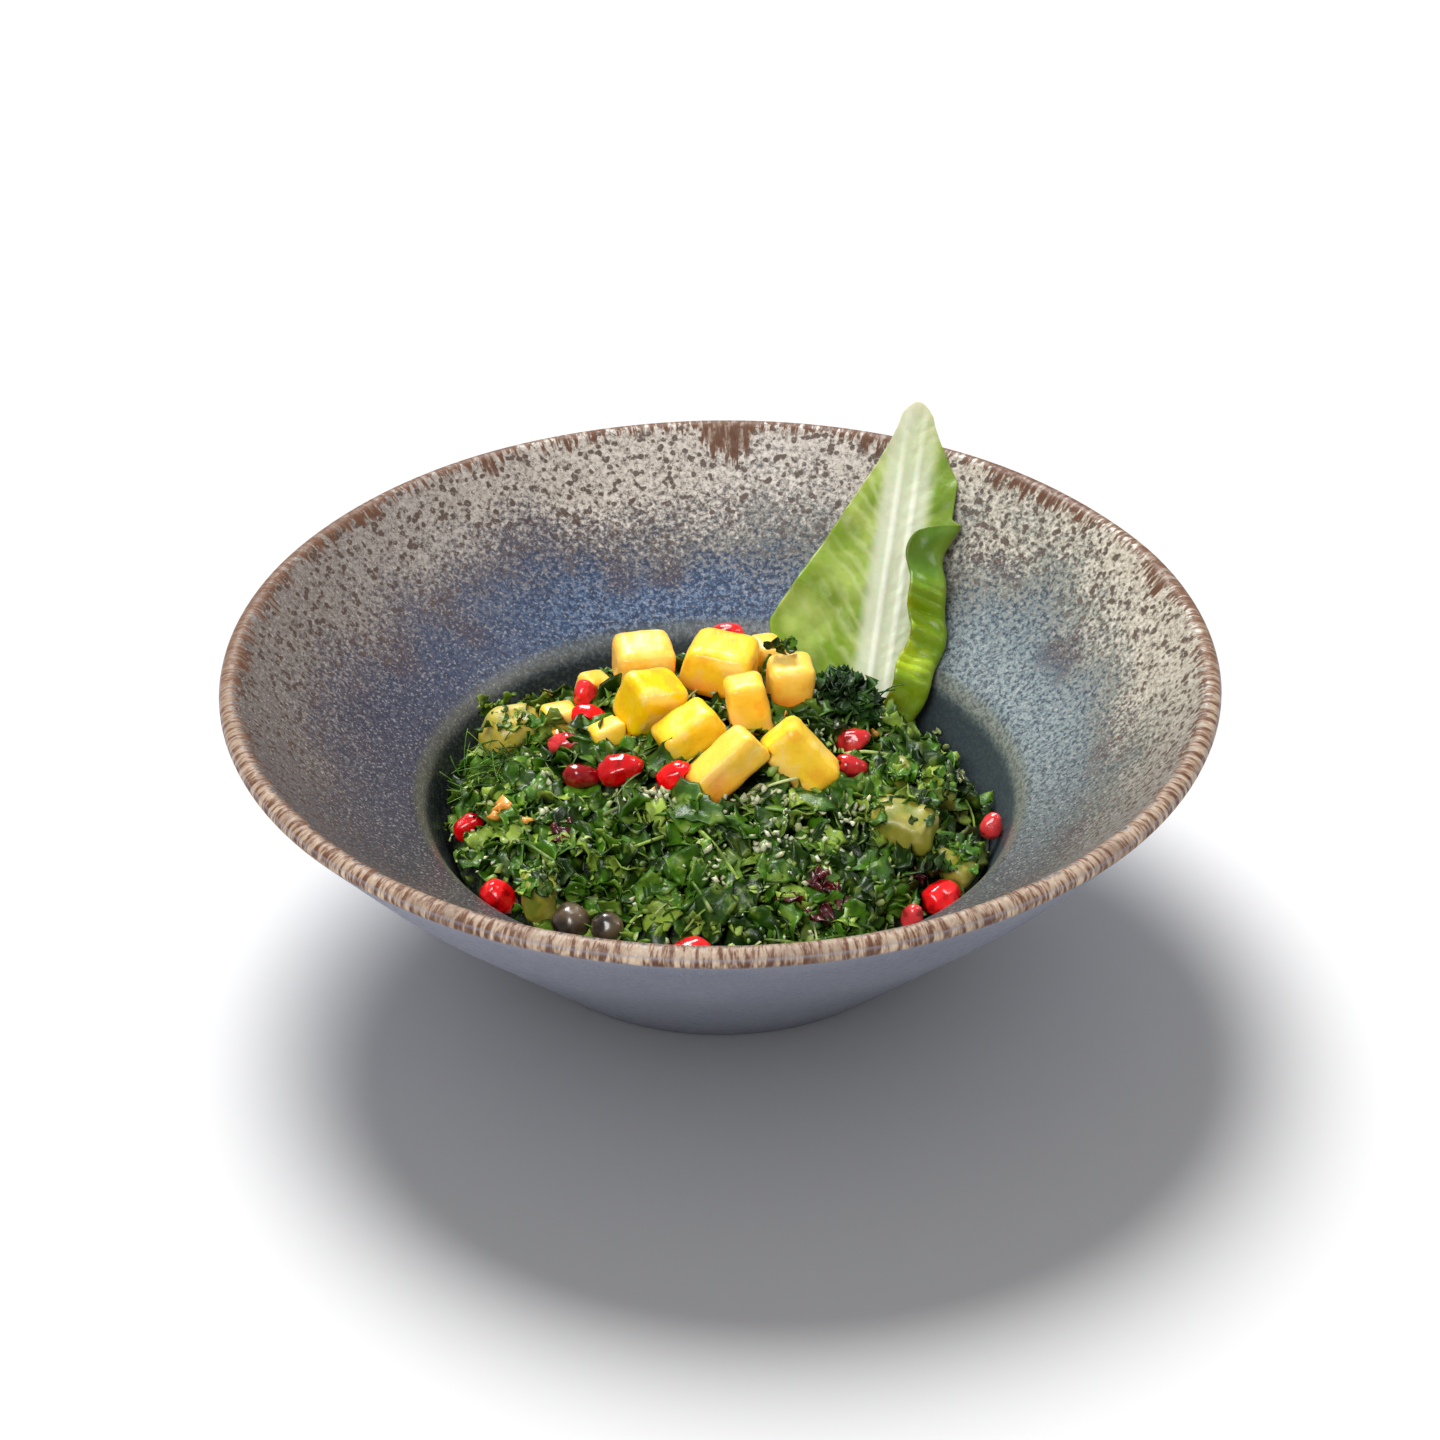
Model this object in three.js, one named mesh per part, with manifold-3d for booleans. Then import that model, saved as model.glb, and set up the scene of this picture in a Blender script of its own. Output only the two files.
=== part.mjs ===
// Tabbouleh salad in a wide-brimmed stoneware bowl: chopped parsley and grain, mango dice, pomegranate
// seeds, avocado, two dark grapes, a sprig of curly parsley and an upright lettuce leaf.
// Millimetres, +Z up. The origin is the centre of the foot, on the table. +X is right, -Y is the front.
import * as THREE from "three";
import { RoundedBoxGeometry } from "three/addons/geometries/RoundedBoxGeometry.js";
import { mergeVertices } from "three/addons/utils/BufferGeometryUtils.js";
import Module from "manifold-3d";

const wasm = await Module();
wasm.setup();

// ---- driving dimensions ----
const clearance = 0.3; // air kept between pieces that touch
const turnSteps = 52; // facets round the bowl
const firstFacet = 360 / turnSteps / 4; // degrees from the front to the first facet
const pocketSwell = 1.2; // a coarse pocket is this much larger than the round piece in it

const bowl = {
  footRadius: 56.5,
  footRingWidth: 7,
  footRecess: 2,
  creaseRadius: 103, // where the outside turns from the body into the brim
  creaseHeight: 46.5,
  lipRadius: 126.4, // before its edge is rounded
  lipHeight: 74,
  lipThickness: 5.6,
  lipSlant: [0.8, 0.55], // the lip's inner corner lies this share of its thickness inwards and up
  brimSagRadius: 99, // the brim is slightly hollow here
  brimSagHeight: 52.5,
  wellRadius: 76.6, // rounded edge between brim and well
  wellHeight: 38.4,
  floorRadius: 63,
  floorHeight: 8,
};

const heap = {
  crownX: -4, // the highest place of the salad
  crownY: 12,
  crownHeight: 52,
  edgeHeight: 25.5, // where the salad meets the wall of the well
  edgeTilt: 3.5, // the edge lies this much higher towards the tilt angle, and lower opposite
  edgeTiltAngle: 235,
  edgeWave: 1.2,
  fullness: 2.3, // over 2 is a flat-topped mound
  lumpHeight: 1.3,
  settledShare: 0.15, // the lumps begin this far in from the edge
  floorShare: 0.25, // of the bottom rows, for the flat floor
  wallCrowding: 1.6, // over 1 brings the rows on the wall nearer to the floor
  columns: 42,
  topRows: 8,
  bottomRows: 4,
};

const leaf = {
  base: new THREE.Vector3(38, 30, 22),
  tip: new THREE.Vector3(55, 115, 86),
  tipRadius: 4.2,
  tipLength: 40, // the round tip has run into the straight sides this far down
  leftSpread: 0.44, // half-width gained for each millimetre below the tip
  rightSpread: 0.6,
  rightLimit: 13.5,
  widest: 70, // distance below the tip
  leftAtBase: 8,
  rightAtBase: 6,
  waistAt: 48, // the right side is drawn in here, below the tip
  waistWidth: 9,
  waistDepth: 0.24,
  foldFrom: 33, // between these, the right margin is turned over towards the front
  foldTo: 97,
  foldEase: 8, // the fold opens and closes over this length
  foldRadius: 1.8,
  flapWidth: 7.5,
  flapRise: 0.2, // the turned flap stands away from the blade by this much per millimetre
  bladeThickness: 1,
  ribThickness: 3,
  ribHalfWidth: 4.5,
  ribTaper: 0.7, // share of the rib's thickness lost between base and tip
  hollow: 0.0045, // cupping of the blade, 1/mm
  rippleHeight: 0.8,
  rippleLength: 4,
  rippleReach: 20, // the ripples are full this far from the rib
  tipCrowding: 1.4, // over 1 brings the rows nearer to the tip
};

// Every loose piece: where it lies, as x, y and the height of its middle above the smooth mound,
// its size along its own x, y and z, and its turn about x, y and z in degrees.
const mangoDice = [
  { at: [0, 26, 7], size: [18, 15, 14], turn: [0, 6, -14] },
  { at: [-20, 30, 8], size: [15, 13, 13], turn: [8, 4, 12] },
  { at: [-18, 8, 7], size: [15, 12, 15], turn: [4, 24, 34] },
  { at: [12, 37, 8], size: [9, 9, 9], turn: [0, 10, 25] },
  { at: [18, 19, 7], size: [11, 12, 14], turn: [0, 0, 8] },
  { at: [7, 4, 8], size: [10, 9, 16], turn: [0, -6, 12] },
  { at: [-8, -3, 5], size: [16, 11, 10], turn: [8, -22, 28] },
  { at: [-28, 3, 3], size: [10, 7, 6], turn: [0, -14, 24] },
  { at: [1, -17, 5], size: [21, 10, 10], turn: [6, -32, 28] },
  { at: [20, -11, 5], size: [12, 11, 19], turn: [-14, -40, 0] },
  { at: [-33, 31, 4], size: [8, 7, 7], turn: [0, 18, 40] },
  { at: [-42, 19, 3], size: [9, 7, 6], turn: [0, 0, 20] },
  { at: [1, 42, 3.5], size: [15, 12, 10], turn: [0, 0, 20] },
];
const avocadoChunks = [
  { at: [-54, 18, 6], size: [15, 12, 12], turn: [14, 8, 24] },
  { at: [-45, -46, 3], size: [9, 9, 12], turn: [0, 4, 14] },
  { at: [46, -24, 5], size: [16, 12, 10], turn: [14, 0, -22] },
  { at: [58, -29, 4], size: [12, 9, 8], turn: [6, 22, -30] },
  { at: [44, -6, 4], size: [9, 8, 8], turn: [8, -10, 30] },
  { at: [55, -5, 4], size: [9, 8, 7], turn: [0, 14, 12] },
];
const pomegranateSeeds = [
  { at: [-35, 24, 5], size: 9, turn: [0, -8, 20] },
  { at: [-34, 14, 3], size: 9, turn: [0, 80, 30] },
  { at: [-40, 5, 2], size: 8.8, turn: [20, 60, 0] },
  { at: [-35, -11, 2], size: 9.6, turn: [0, 95, 40] },
  { at: [-25, -13, 3], size: 12, turn: [0, 68, 20] },
  { at: [-11, -18, 3], size: 10.8, turn: [0, 60, 0] },
  { at: [-64, -12, 2], size: 8.8, turn: [0, 50, 0] },
  { at: [-55, -42, 3], size: 11, turn: [0, 135, 30] },
  { at: [-7, -66, 2], size: 9.8, turn: [0, 80, 0] },
  { at: [34, 5, 3], size: 9.2, turn: [0, 70, 60] },
  { at: [33, -6, 2], size: 8.8, turn: [0, 100, 0] },
  { at: [69, -9, 7], size: 7.8, turn: [0, 20, 0] },
  { at: [55, -39, 3], size: 11.6, turn: [-90, 45, 0] },
  { at: [47, -48, 2], size: 8, turn: [0, 10, 0] },
  { at: [2, 42, 12], size: 9, turn: [0, 80, 0] },
];
const seed = {
  widthShare: 0.76, // of its length
  depthShare: 0.9, // of its width
  bluntness: 0.82, // under 1 moves its widest place towards the blunt end
  facetDepth: 0.08,
  facets: 3,
};
const grapes = [
  { at: [-37, -56, 4], size: [9.6, 9.6, 11], turn: [60, 20, 0] },
  { at: [-28, -59, 3], size: [9, 8, 8], turn: [90, 0, 70] },
];
const sprig = {
  at: [33, 22, 6],
  size: [17, 11, 17],
  lobes: 5,
  lobeDepth: 0.13, // as a share of its half-width
  lobeTwist: 7,
  curlDepth: 0.08,
  curls: 11,
  pocketSwell: 1.296, // its pocket also clears its lobes
};

// ---- helpers ----
const degrees = (angle) => THREE.MathUtils.degToRad(angle);
const { lerp, smoothstep } = THREE.MathUtils;

function finish(color, roughness, metalness = 0) {
  return new THREE.MeshStandardMaterial({ color, roughness, metalness });
}

function place(mesh, { at: [x, y, lift], turn = [0, 0, 0] }) {
  mesh.position.set(x, y, moundHeight(x, y) + lift);
  mesh.rotation.set(...turn.map(degrees));
  mesh.updateMatrixWorld(true);
  return mesh;
}

// Points along a profile of corners { r, z, ease, steps }, where each corner is rounded off over its
// ease, the length along both sides.
function roundedProfile(corners) {
  return corners.flatMap(({ r, z, ease, steps }, i) => {
    const corner = new THREE.Vector2(r, z);
    if (!ease) return [corner];
    const [before, after] = [corners[i - 1], corners[i + 1]].map((next) =>
      corner.clone().add(new THREE.Vector2(next.r - r, next.z - z).setLength(ease)),
    );
    return new THREE.QuadraticBezierCurve(before, corner, after).getPoints(steps);
  });
}

// A closed surface from rings of points. The first and the last row shrink to one point each.
function closedShell(rows, columns, pointAt) {
  const vertices = [pointAt(0, 0)];
  for (let row = 1; row < rows; row++) {
    for (let column = 0; column < columns; column++) vertices.push(pointAt(row / rows, column / columns));
  }
  vertices.push(pointAt(1, 0));
  const last = vertices.length - 1;
  const index = (row, column) => 1 + (row - 1) * columns + (column % columns);
  const triangles = [];
  for (let column = 0; column < columns; column++) {
    triangles.push(0, index(1, column + 1), index(1, column));
    triangles.push(last, index(rows - 1, column), index(rows - 1, column + 1));
    for (let row = 1; row < rows - 1; row++) {
      const [a, b] = [index(row, column), index(row, column + 1)];
      const [c, d] = [index(row + 1, column), index(row + 1, column + 1)];
      triangles.push(a, b, d, a, d, c);
    }
  }
  const geometry = new THREE.BufferGeometry().setFromPoints(vertices);
  geometry.setIndex(triangles);
  return facingOut(geometry);
}

// The same geometry, with its faces turned round if they enclose a negative volume.
function facingOut(geometry) {
  const position = geometry.getAttribute("position");
  const order = geometry.getIndex().array;
  const corner = (i) => new THREE.Vector3().fromBufferAttribute(position, order[i]);
  let volume = 0;
  for (let i = 0; i < order.length; i += 3) volume += corner(i).dot(corner(i + 1).cross(corner(i + 2)));
  if (volume < 0) geometry.setIndex([...order].reverse());
  return geometry;
}

function solidOf(geometry, matrix) {
  const bare = geometry.clone().applyMatrix4(matrix);
  bare.deleteAttribute("normal");
  bare.deleteAttribute("uv");
  const merged = mergeVertices(bare, 1e-4);
  return new wasm.Manifold(
    new wasm.Mesh({
      numProp: 3,
      vertProperties: merged.getAttribute("position").array,
      triVerts: new Uint32Array(merged.getIndex().array),
    }),
  );
}

function geometryOf(solid) {
  const { vertProperties, triVerts } = solid.getMesh();
  const geometry = new THREE.BufferGeometry();
  geometry.setAttribute("position", new THREE.BufferAttribute(vertProperties, 3));
  geometry.setIndex(new THREE.BufferAttribute(triVerts, 1));
  return geometry;
}

// Cuts the room that other pieces need, each grown by the clearance, out of a mesh.
function makeRoom(mesh, others) {
  const before = solidOf(mesh.geometry, mesh.matrixWorld);
  let solid = before;
  for (const other of others) {
    solid = solid.subtract(grown(other)).subtract(solidOf(other.geometry, other.matrixWorld));
  }
  if (solid.volume() > before.volume() - 1e-3) return;
  const largest = solid.decompose().sort((a, b) => b.volume() - a.volume())[0];
  mesh.geometry = geometryOf(largest).applyMatrix4(mesh.matrixWorld.clone().invert());
}

// The space that a piece takes up, with the clearance all round: its own shape, or its coarser pocket.
function grown(mesh) {
  const geometry = (mesh.userData.pocket ?? mesh.geometry).clone();
  geometry.computeBoundingBox();
  const middle = geometry.boundingBox.getCenter(new THREE.Vector3());
  const size = geometry.boundingBox.getSize(new THREE.Vector3());
  const factor = size.clone().addScalar(2 * clearance).divide(size);
  geometry.translate(-middle.x, -middle.y, -middle.z);
  geometry.scale(factor.x, factor.y, factor.z);
  geometry.translate(middle.x, middle.y, middle.z);
  return solidOf(geometry, mesh.matrixWorld);
}

// 1 between two places and 0 outside them, with an eased step at both ends.
function bump(place, from, to, ease) {
  return smoothstep(place, from, from + ease) * (1 - smoothstep(place, to - ease, to));
}

// ---- bowl ----
function bowlProfile() {
  const { footRadius, footRecess, lipRadius, lipHeight, lipThickness } = bowl;
  const inFoot = footRadius - bowl.footRingWidth;
  const [inwards, up] = bowl.lipSlant;
  return roundedProfile([
    { r: 0, z: footRecess },
    { r: inFoot - footRecess, z: footRecess },
    { r: inFoot, z: 0 },
    { r: footRadius - 1, z: 0 },
    { r: footRadius, z: 1 },
    { r: bowl.creaseRadius, z: bowl.creaseHeight, ease: 8, steps: 2 },
    { r: lipRadius, z: lipHeight, ease: 3, steps: 3 },
    { r: lipRadius - lipThickness * inwards, z: lipHeight + lipThickness * up, ease: 3, steps: 3 },
    { r: bowl.brimSagRadius, z: bowl.brimSagHeight, ease: 14, steps: 3 },
    { r: bowl.wellRadius, z: bowl.wellHeight, ease: 4, steps: 3 },
    { r: bowl.floorRadius, z: bowl.floorHeight, ease: 11, steps: 3 },
    { r: 0, z: bowl.floorHeight },
  ]);
}

function makeBowl() {
  const geometry = new THREE.LatheGeometry(bowlProfile(), turnSteps);
  geometry.rotateX(Math.PI / 2).rotateZ(degrees(firstFacet));
  const mesh = new THREE.Mesh(geometry, finish(0x7b7f8e, 0.35));
  mesh.name = "bowl";
  return mesh;
}

// Inner radius of the well at a height, less the clearance. The profile's last points run from the
// well's edge down to the middle of the floor.
function wellRadiusAt(z) {
  const line = bowlProfile().filter(({ x, y }) => x <= bowl.wellRadius && y >= bowl.floorHeight);
  const upper = line.findIndex((point, i) => point.y >= z && line[i + 1].y <= z);
  const [above, below] = [line[upper], line[upper + 1]];
  const share = (z - below.y) / (above.y - below.y || 1);
  return lerp(below.x, above.x, share) - 2 * clearance;
}

// ---- salad ----
function saladEdge(angle) {
  return heap.edgeHeight + heap.edgeTilt * Math.cos(angle - degrees(heap.edgeTiltAngle));
}

// Height of the smooth mound, without its lumps.
function moundHeight(x, y) {
  const angle = Math.atan2(y, x);
  const edge = saladEdge(angle);
  const reach = wellRadiusAt(edge) - heap.crownX * Math.cos(angle) - heap.crownY * Math.sin(angle);
  const outward = Math.min(1, Math.hypot(x - heap.crownX, y - heap.crownY) / reach);
  return lerp(edge, heap.crownHeight, 1 - outward ** heap.fullness);
}

function lumps(x, y) {
  const broad = Math.sin(x / 6.1 + 1.3) * Math.cos(y / 5.3);
  const fine = Math.sin(x / 2.9 - y / 3.7) * Math.cos(y / 2.6 + x / 4.4);
  return heap.lumpHeight * (broad + fine);
}

function makeHeap() {
  const rows = heap.bottomRows + heap.topRows;
  const geometry = closedShell(rows, heap.columns, (rowShare, columnShare) => {
    const angle = columnShare * 2 * Math.PI;
    const edge = saladEdge(angle) + heap.edgeWave * (Math.sin(5 * angle) + 0.7 * Math.sin(11 * angle + 2));
    const row = rowShare * rows;
    const floor = bowl.floorHeight + clearance;
    if (row <= heap.bottomRows) {
      const share = row / heap.bottomRows;
      const upWall = Math.max(0, (share - heap.floorShare) / (1 - heap.floorShare));
      const z = lerp(floor, edge, upWall ** heap.wallCrowding);
      const radius = wellRadiusAt(z) * Math.min(1, share / heap.floorShare);
      return new THREE.Vector3(radius * Math.cos(angle), radius * Math.sin(angle), z);
    }
    const inward = (row - heap.bottomRows) / heap.topRows;
    const radius = wellRadiusAt(edge) * (1 - inward);
    const x = radius * Math.cos(angle);
    const y = radius * Math.sin(angle);
    const settled = smoothstep(inward, 0, heap.settledShare);
    return new THREE.Vector3(x, y, lerp(edge, moundHeight(x, y) + lumps(x, y), settled));
  });
  const mesh = new THREE.Mesh(geometry, finish(0x2f5a1e, 0.6));
  mesh.name = "salad_heap";
  return mesh;
}

// ---- cut fruit ----
// A knife-cut piece: a box with eased edges, narrower at its top and leaning a little.
function cutPiece(size, easing, narrowing, lean, coarse = false) {
  const radius = easing * Math.min(...size);
  const geometry = coarse ? new THREE.BoxGeometry(...size) : new RoundedBoxGeometry(...size, 1, radius);
  const position = geometry.getAttribute("position");
  for (let i = 0; i < position.count; i++) {
    const up = position.getZ(i) / size[2];
    position.setX(i, position.getX(i) * (1 - narrowing * up) + lean * size[0] * up);
    position.setY(i, position.getY(i) * (1 + narrowing * 0.6 * up));
  }
  return geometry;
}

function makeCutPieces(name, pieces, { easing, narrowing, colour, roughness }) {
  return pieces.map((piece, i) => {
    const slant = narrowing * Math.sin(2.4 * i + 1);
    const lean = 0.5 * narrowing * Math.cos(1.7 * i);
    const geometry = cutPiece(piece.size, easing, slant, lean);
    const mesh = new THREE.Mesh(geometry, finish(colour, roughness));
    mesh.name = `${name}_${i + 1}`;
    mesh.userData.pocket = cutPiece(piece.size, easing, slant, lean, true);
    return place(mesh, piece);
  });
}

// ---- pomegranate seeds, grapes and sprig ----
// A seed is a faceted drop, blunt at one end and pointed at the other.
function seedShape(length, rows, columns) {
  const width = seed.widthShare * length;
  return closedShell(rows, columns, (share, around) => {
    const angle = around * 2 * Math.PI;
    const faceted = 1 + seed.facetDepth * Math.cos(seed.facets * angle);
    const radius = (width / 2) * Math.sin(Math.PI * share ** seed.bluntness) * faceted;
    const up = -Math.cos(Math.PI * share) * (length / 2);
    return new THREE.Vector3(radius * Math.cos(angle), seed.depthShare * radius * Math.sin(angle), up);
  });
}

function makeSeeds() {
  return pomegranateSeeds.map((piece, i) => {
    const mesh = new THREE.Mesh(seedShape(piece.size, 5, 8), finish(0x9c0f1a, 0.2));
    mesh.name = `pomegranate_seed_${i + 1}`;
    mesh.userData.pocket = seedShape(piece.size * pocketSwell, 4, 6);
    return place(mesh, piece);
  });
}

function ovalShape([width, depth, height], rows, columns) {
  return closedShell(rows, columns, (share, around) => {
    const angle = around * 2 * Math.PI;
    const swell = Math.sin(Math.PI * share) / 2;
    const [x, y] = [swell * width * Math.cos(angle), swell * depth * Math.sin(angle)];
    return new THREE.Vector3(x, y, (-height / 2) * Math.cos(Math.PI * share));
  });
}

function makeGrapes() {
  return grapes.map((grape, i) => {
    const mesh = new THREE.Mesh(ovalShape(grape.size, 6, 10), finish(0x4a3a30, 0.2));
    mesh.name = `grape_${i + 1}`;
    mesh.userData.pocket = ovalShape(grape.size.map((side) => side * pocketSwell), 4, 6);
    return place(mesh, grape);
  });
}

// The curled leaf tips of the sprig, as one knobbly body.
function makeSprig() {
  const [width, depth, height] = sprig.size;
  const geometry = closedShell(9, 12, (share, around) => {
    const angle = around * 2 * Math.PI;
    const lobe = sprig.lobeDepth * Math.sin(sprig.lobes * angle + sprig.lobeTwist * share);
    const curl = 1 + lobe + sprig.curlDepth * Math.sin(sprig.curls * share);
    const swell = (Math.sin(Math.PI * share) * curl) / 2;
    const [x, y] = [swell * width * Math.cos(angle), swell * depth * Math.sin(angle)];
    return new THREE.Vector3(x, y, (-height / 2) * Math.cos(Math.PI * share) * curl);
  });
  const mesh = new THREE.Mesh(geometry, finish(0x1d3d17, 0.6));
  mesh.name = "parsley_sprig";
  mesh.userData.pocket = ovalShape(sprig.size.map((side) => side * sprig.pocketSwell), 4, 6);
  return place(mesh, sprig);
}

// ---- lettuce leaf ----
// A frame along the leaf: up the rib, across it to the right, and out of its hollow face.
function leafFrame() {
  const along = leaf.tip.clone().sub(leaf.base).normalize();
  const across = new THREE.Vector3(1, 0, 0).addScaledVector(along, -along.x).normalize();
  return { along, across, out: across.clone().cross(along) };
}

// How far the blade reaches from the rib on either side, and how much of it folds over, at a distance
// below the tip.
function leafReach(below, length) {
  const tipShare = Math.max(0, 1 - below / leaf.tipLength);
  const round = leaf.tipRadius * Math.sqrt(Math.min(1, below / leaf.tipRadius)) * tipShare;
  const towardsBase = smoothstep(below, leaf.widest, length);
  const waist = 1 - leaf.waistDepth * Math.exp(-(((below - leaf.waistAt) / leaf.waistWidth) ** 2));
  const left = Math.hypot(round, leaf.leftSpread * Math.min(below, leaf.widest));
  const right = waist * Math.min(Math.hypot(round, leaf.rightSpread * below), leaf.rightLimit);
  return {
    left: lerp(left, leaf.leftAtBase, towardsBase),
    right: lerp(right, leaf.rightAtBase, towardsBase),
    fold: bump(below, leaf.foldFrom, leaf.foldTo, leaf.foldEase),
  };
}

// The blade's section: distance across and height out, at a distance from the rib measured along it.
// Past the right reach it turns over towards the front and runs back.
function leafSection(distance, { right }) {
  if (distance < right) return new THREE.Vector2(distance, leaf.hollow * distance * distance);
  const turn = Math.min(Math.PI, (distance - right) / leaf.foldRadius);
  const back = Math.max(0, distance - right - leaf.foldRadius * Math.PI);
  const height = leaf.hollow * right * right + leaf.foldRadius * (1 - Math.cos(turn)) + leaf.flapRise * back;
  return new THREE.Vector2(right + leaf.foldRadius * Math.sin(turn) - back, height);
}

// The leaf as a closed shell, with its faces moved out by a margin.
function leafShape(rows, faceColumns, margin) {
  const length = leaf.tip.distanceTo(leaf.base);
  const { along, across, out } = leafFrame();
  return closedShell(rows, 2 * faceColumns, (rowShare, columnShare) => {
    const below = length * (1 - rowShare) ** leaf.tipCrowding;
    const reach = leafReach(below, length);
    const onBack = columnShare > 0.5;
    const share = 2 * (onBack ? 1 - columnShare : columnShare);
    const foldLength = reach.fold * (leaf.foldRadius * Math.PI + leaf.flapWidth);
    const distance = lerp(-reach.left, reach.right + foldLength, share);
    const front = leafSection(distance, reach);
    const slope = leafSection(distance + 0.1, reach).sub(front).normalize();
    const normal = new THREE.Vector2(-slope.y, slope.x);
    const outside = margin * Math.trunc(2 * share - 1); // only the two edges move along the blade
    const taper = 1 - leaf.ribTaper * rowShare;
    const rib = leaf.ribThickness * taper * Math.exp(-((distance / leaf.ribHalfWidth) ** 2));
    const depth = onBack ? -(leaf.bladeThickness + rib + margin) : margin;
    const wave = leaf.rippleHeight * Math.sin(below / leaf.rippleLength);
    const ripple = wave * Math.min(1, Math.abs(distance) / leaf.rippleReach);
    const end = rowShare % 1 === 0 ? 0 : 1;
    const section = front.addScaledVector(normal, depth).addScaledVector(slope, outside);
    section.multiplyScalar(end);
    const beyond = end ? 0 : margin * Math.sign(rowShare - 0.5);
    const onRib = leaf.tip.clone().addScaledVector(along, beyond - below);
    return onRib.addScaledVector(across, section.x).addScaledVector(out, section.y + end * ripple);
  });
}

function makeLeaf() {
  const mesh = new THREE.Mesh(leafShape(16, 12, 0), finish(0x9cc653, 0.5));
  mesh.name = "lettuce_leaf";
  mesh.userData.pocket = leafShape(16, 12, 3 * clearance);
  return mesh;
}

// ---- assembly ----
const bowlMesh = makeBowl();
const heapMesh = makeHeap();
const leafMesh = makeLeaf();
const mango = { easing: 0.2, narrowing: 0.16, colour: 0xf3b62d, roughness: 0.35 };
const avocado = { easing: 0.3, narrowing: 0.2, colour: 0xa8a93a, roughness: 0.45 };
const toppings = [
  ...makeCutPieces("mango_die", mangoDice, mango),
  ...makeSeeds(),
  ...makeGrapes(),
  ...makeCutPieces("avocado_chunk", avocadoChunks, avocado),
  makeSprig(),
];
toppings.forEach((piece, i) => makeRoom(piece, [leafMesh, ...toppings.slice(0, i)]));
makeRoom(heapMesh, [leafMesh, ...toppings]);

const salad = new THREE.Group();
salad.add(bowlMesh, heapMesh, leafMesh, ...toppings);
export default salad;
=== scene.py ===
import bmesh
import bpy
import math
import numpy as np
import random
from mathutils import Euler, Matrix, Vector, noise
from types import SimpleNamespace


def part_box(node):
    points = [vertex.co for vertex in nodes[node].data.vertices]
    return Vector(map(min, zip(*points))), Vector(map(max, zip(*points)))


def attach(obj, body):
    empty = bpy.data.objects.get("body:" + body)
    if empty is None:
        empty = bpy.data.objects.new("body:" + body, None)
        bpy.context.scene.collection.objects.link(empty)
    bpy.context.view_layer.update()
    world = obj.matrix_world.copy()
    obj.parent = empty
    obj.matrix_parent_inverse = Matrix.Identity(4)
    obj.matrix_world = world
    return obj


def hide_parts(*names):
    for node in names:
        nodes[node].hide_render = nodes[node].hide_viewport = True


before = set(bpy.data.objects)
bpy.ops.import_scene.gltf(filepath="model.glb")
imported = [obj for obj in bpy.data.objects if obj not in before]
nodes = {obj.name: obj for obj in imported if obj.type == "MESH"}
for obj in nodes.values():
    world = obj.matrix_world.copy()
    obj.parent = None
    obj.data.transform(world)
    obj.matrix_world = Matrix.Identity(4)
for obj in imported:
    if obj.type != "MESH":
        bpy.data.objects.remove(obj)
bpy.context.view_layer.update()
mm = 0.001
chance = random.Random(11)
print("frame loaded,", len(nodes), "nodes")


# finishes
def paint(code):  # a colour such as #aabbcc as the light values that a shader takes
    parts = [int(code[i:i + 2], 16) / 255 for i in (1, 3, 5)]
    return (*[p / 12.92 if p <= 0.04045 else ((p + 0.055) / 1.055) ** 2.4 for p in parts], 1)


class Wire:  # one output of a node, which can stand in sums
    def __init__(self, sheet, node, output=0):
        self.sheet = sheet
        self.node = node
        self.socket = node.outputs[output]

    def maths(self, operation, first, second=0.0):
        return self.sheet.maths(operation, first, second)

    def __add__(self, other):
        return self.maths("ADD", self, other)

    def __sub__(self, other):
        return self.maths("SUBTRACT", self, other)

    def __rsub__(self, other):
        return self.maths("SUBTRACT", other, self)

    def __mul__(self, other):
        return self.maths("MULTIPLY", self, other)

    def __truediv__(self, other):
        return self.maths("DIVIDE", self, other)

    def __abs__(self):
        return self.maths("ABSOLUTE", self)

    __radd__ = __add__


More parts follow.
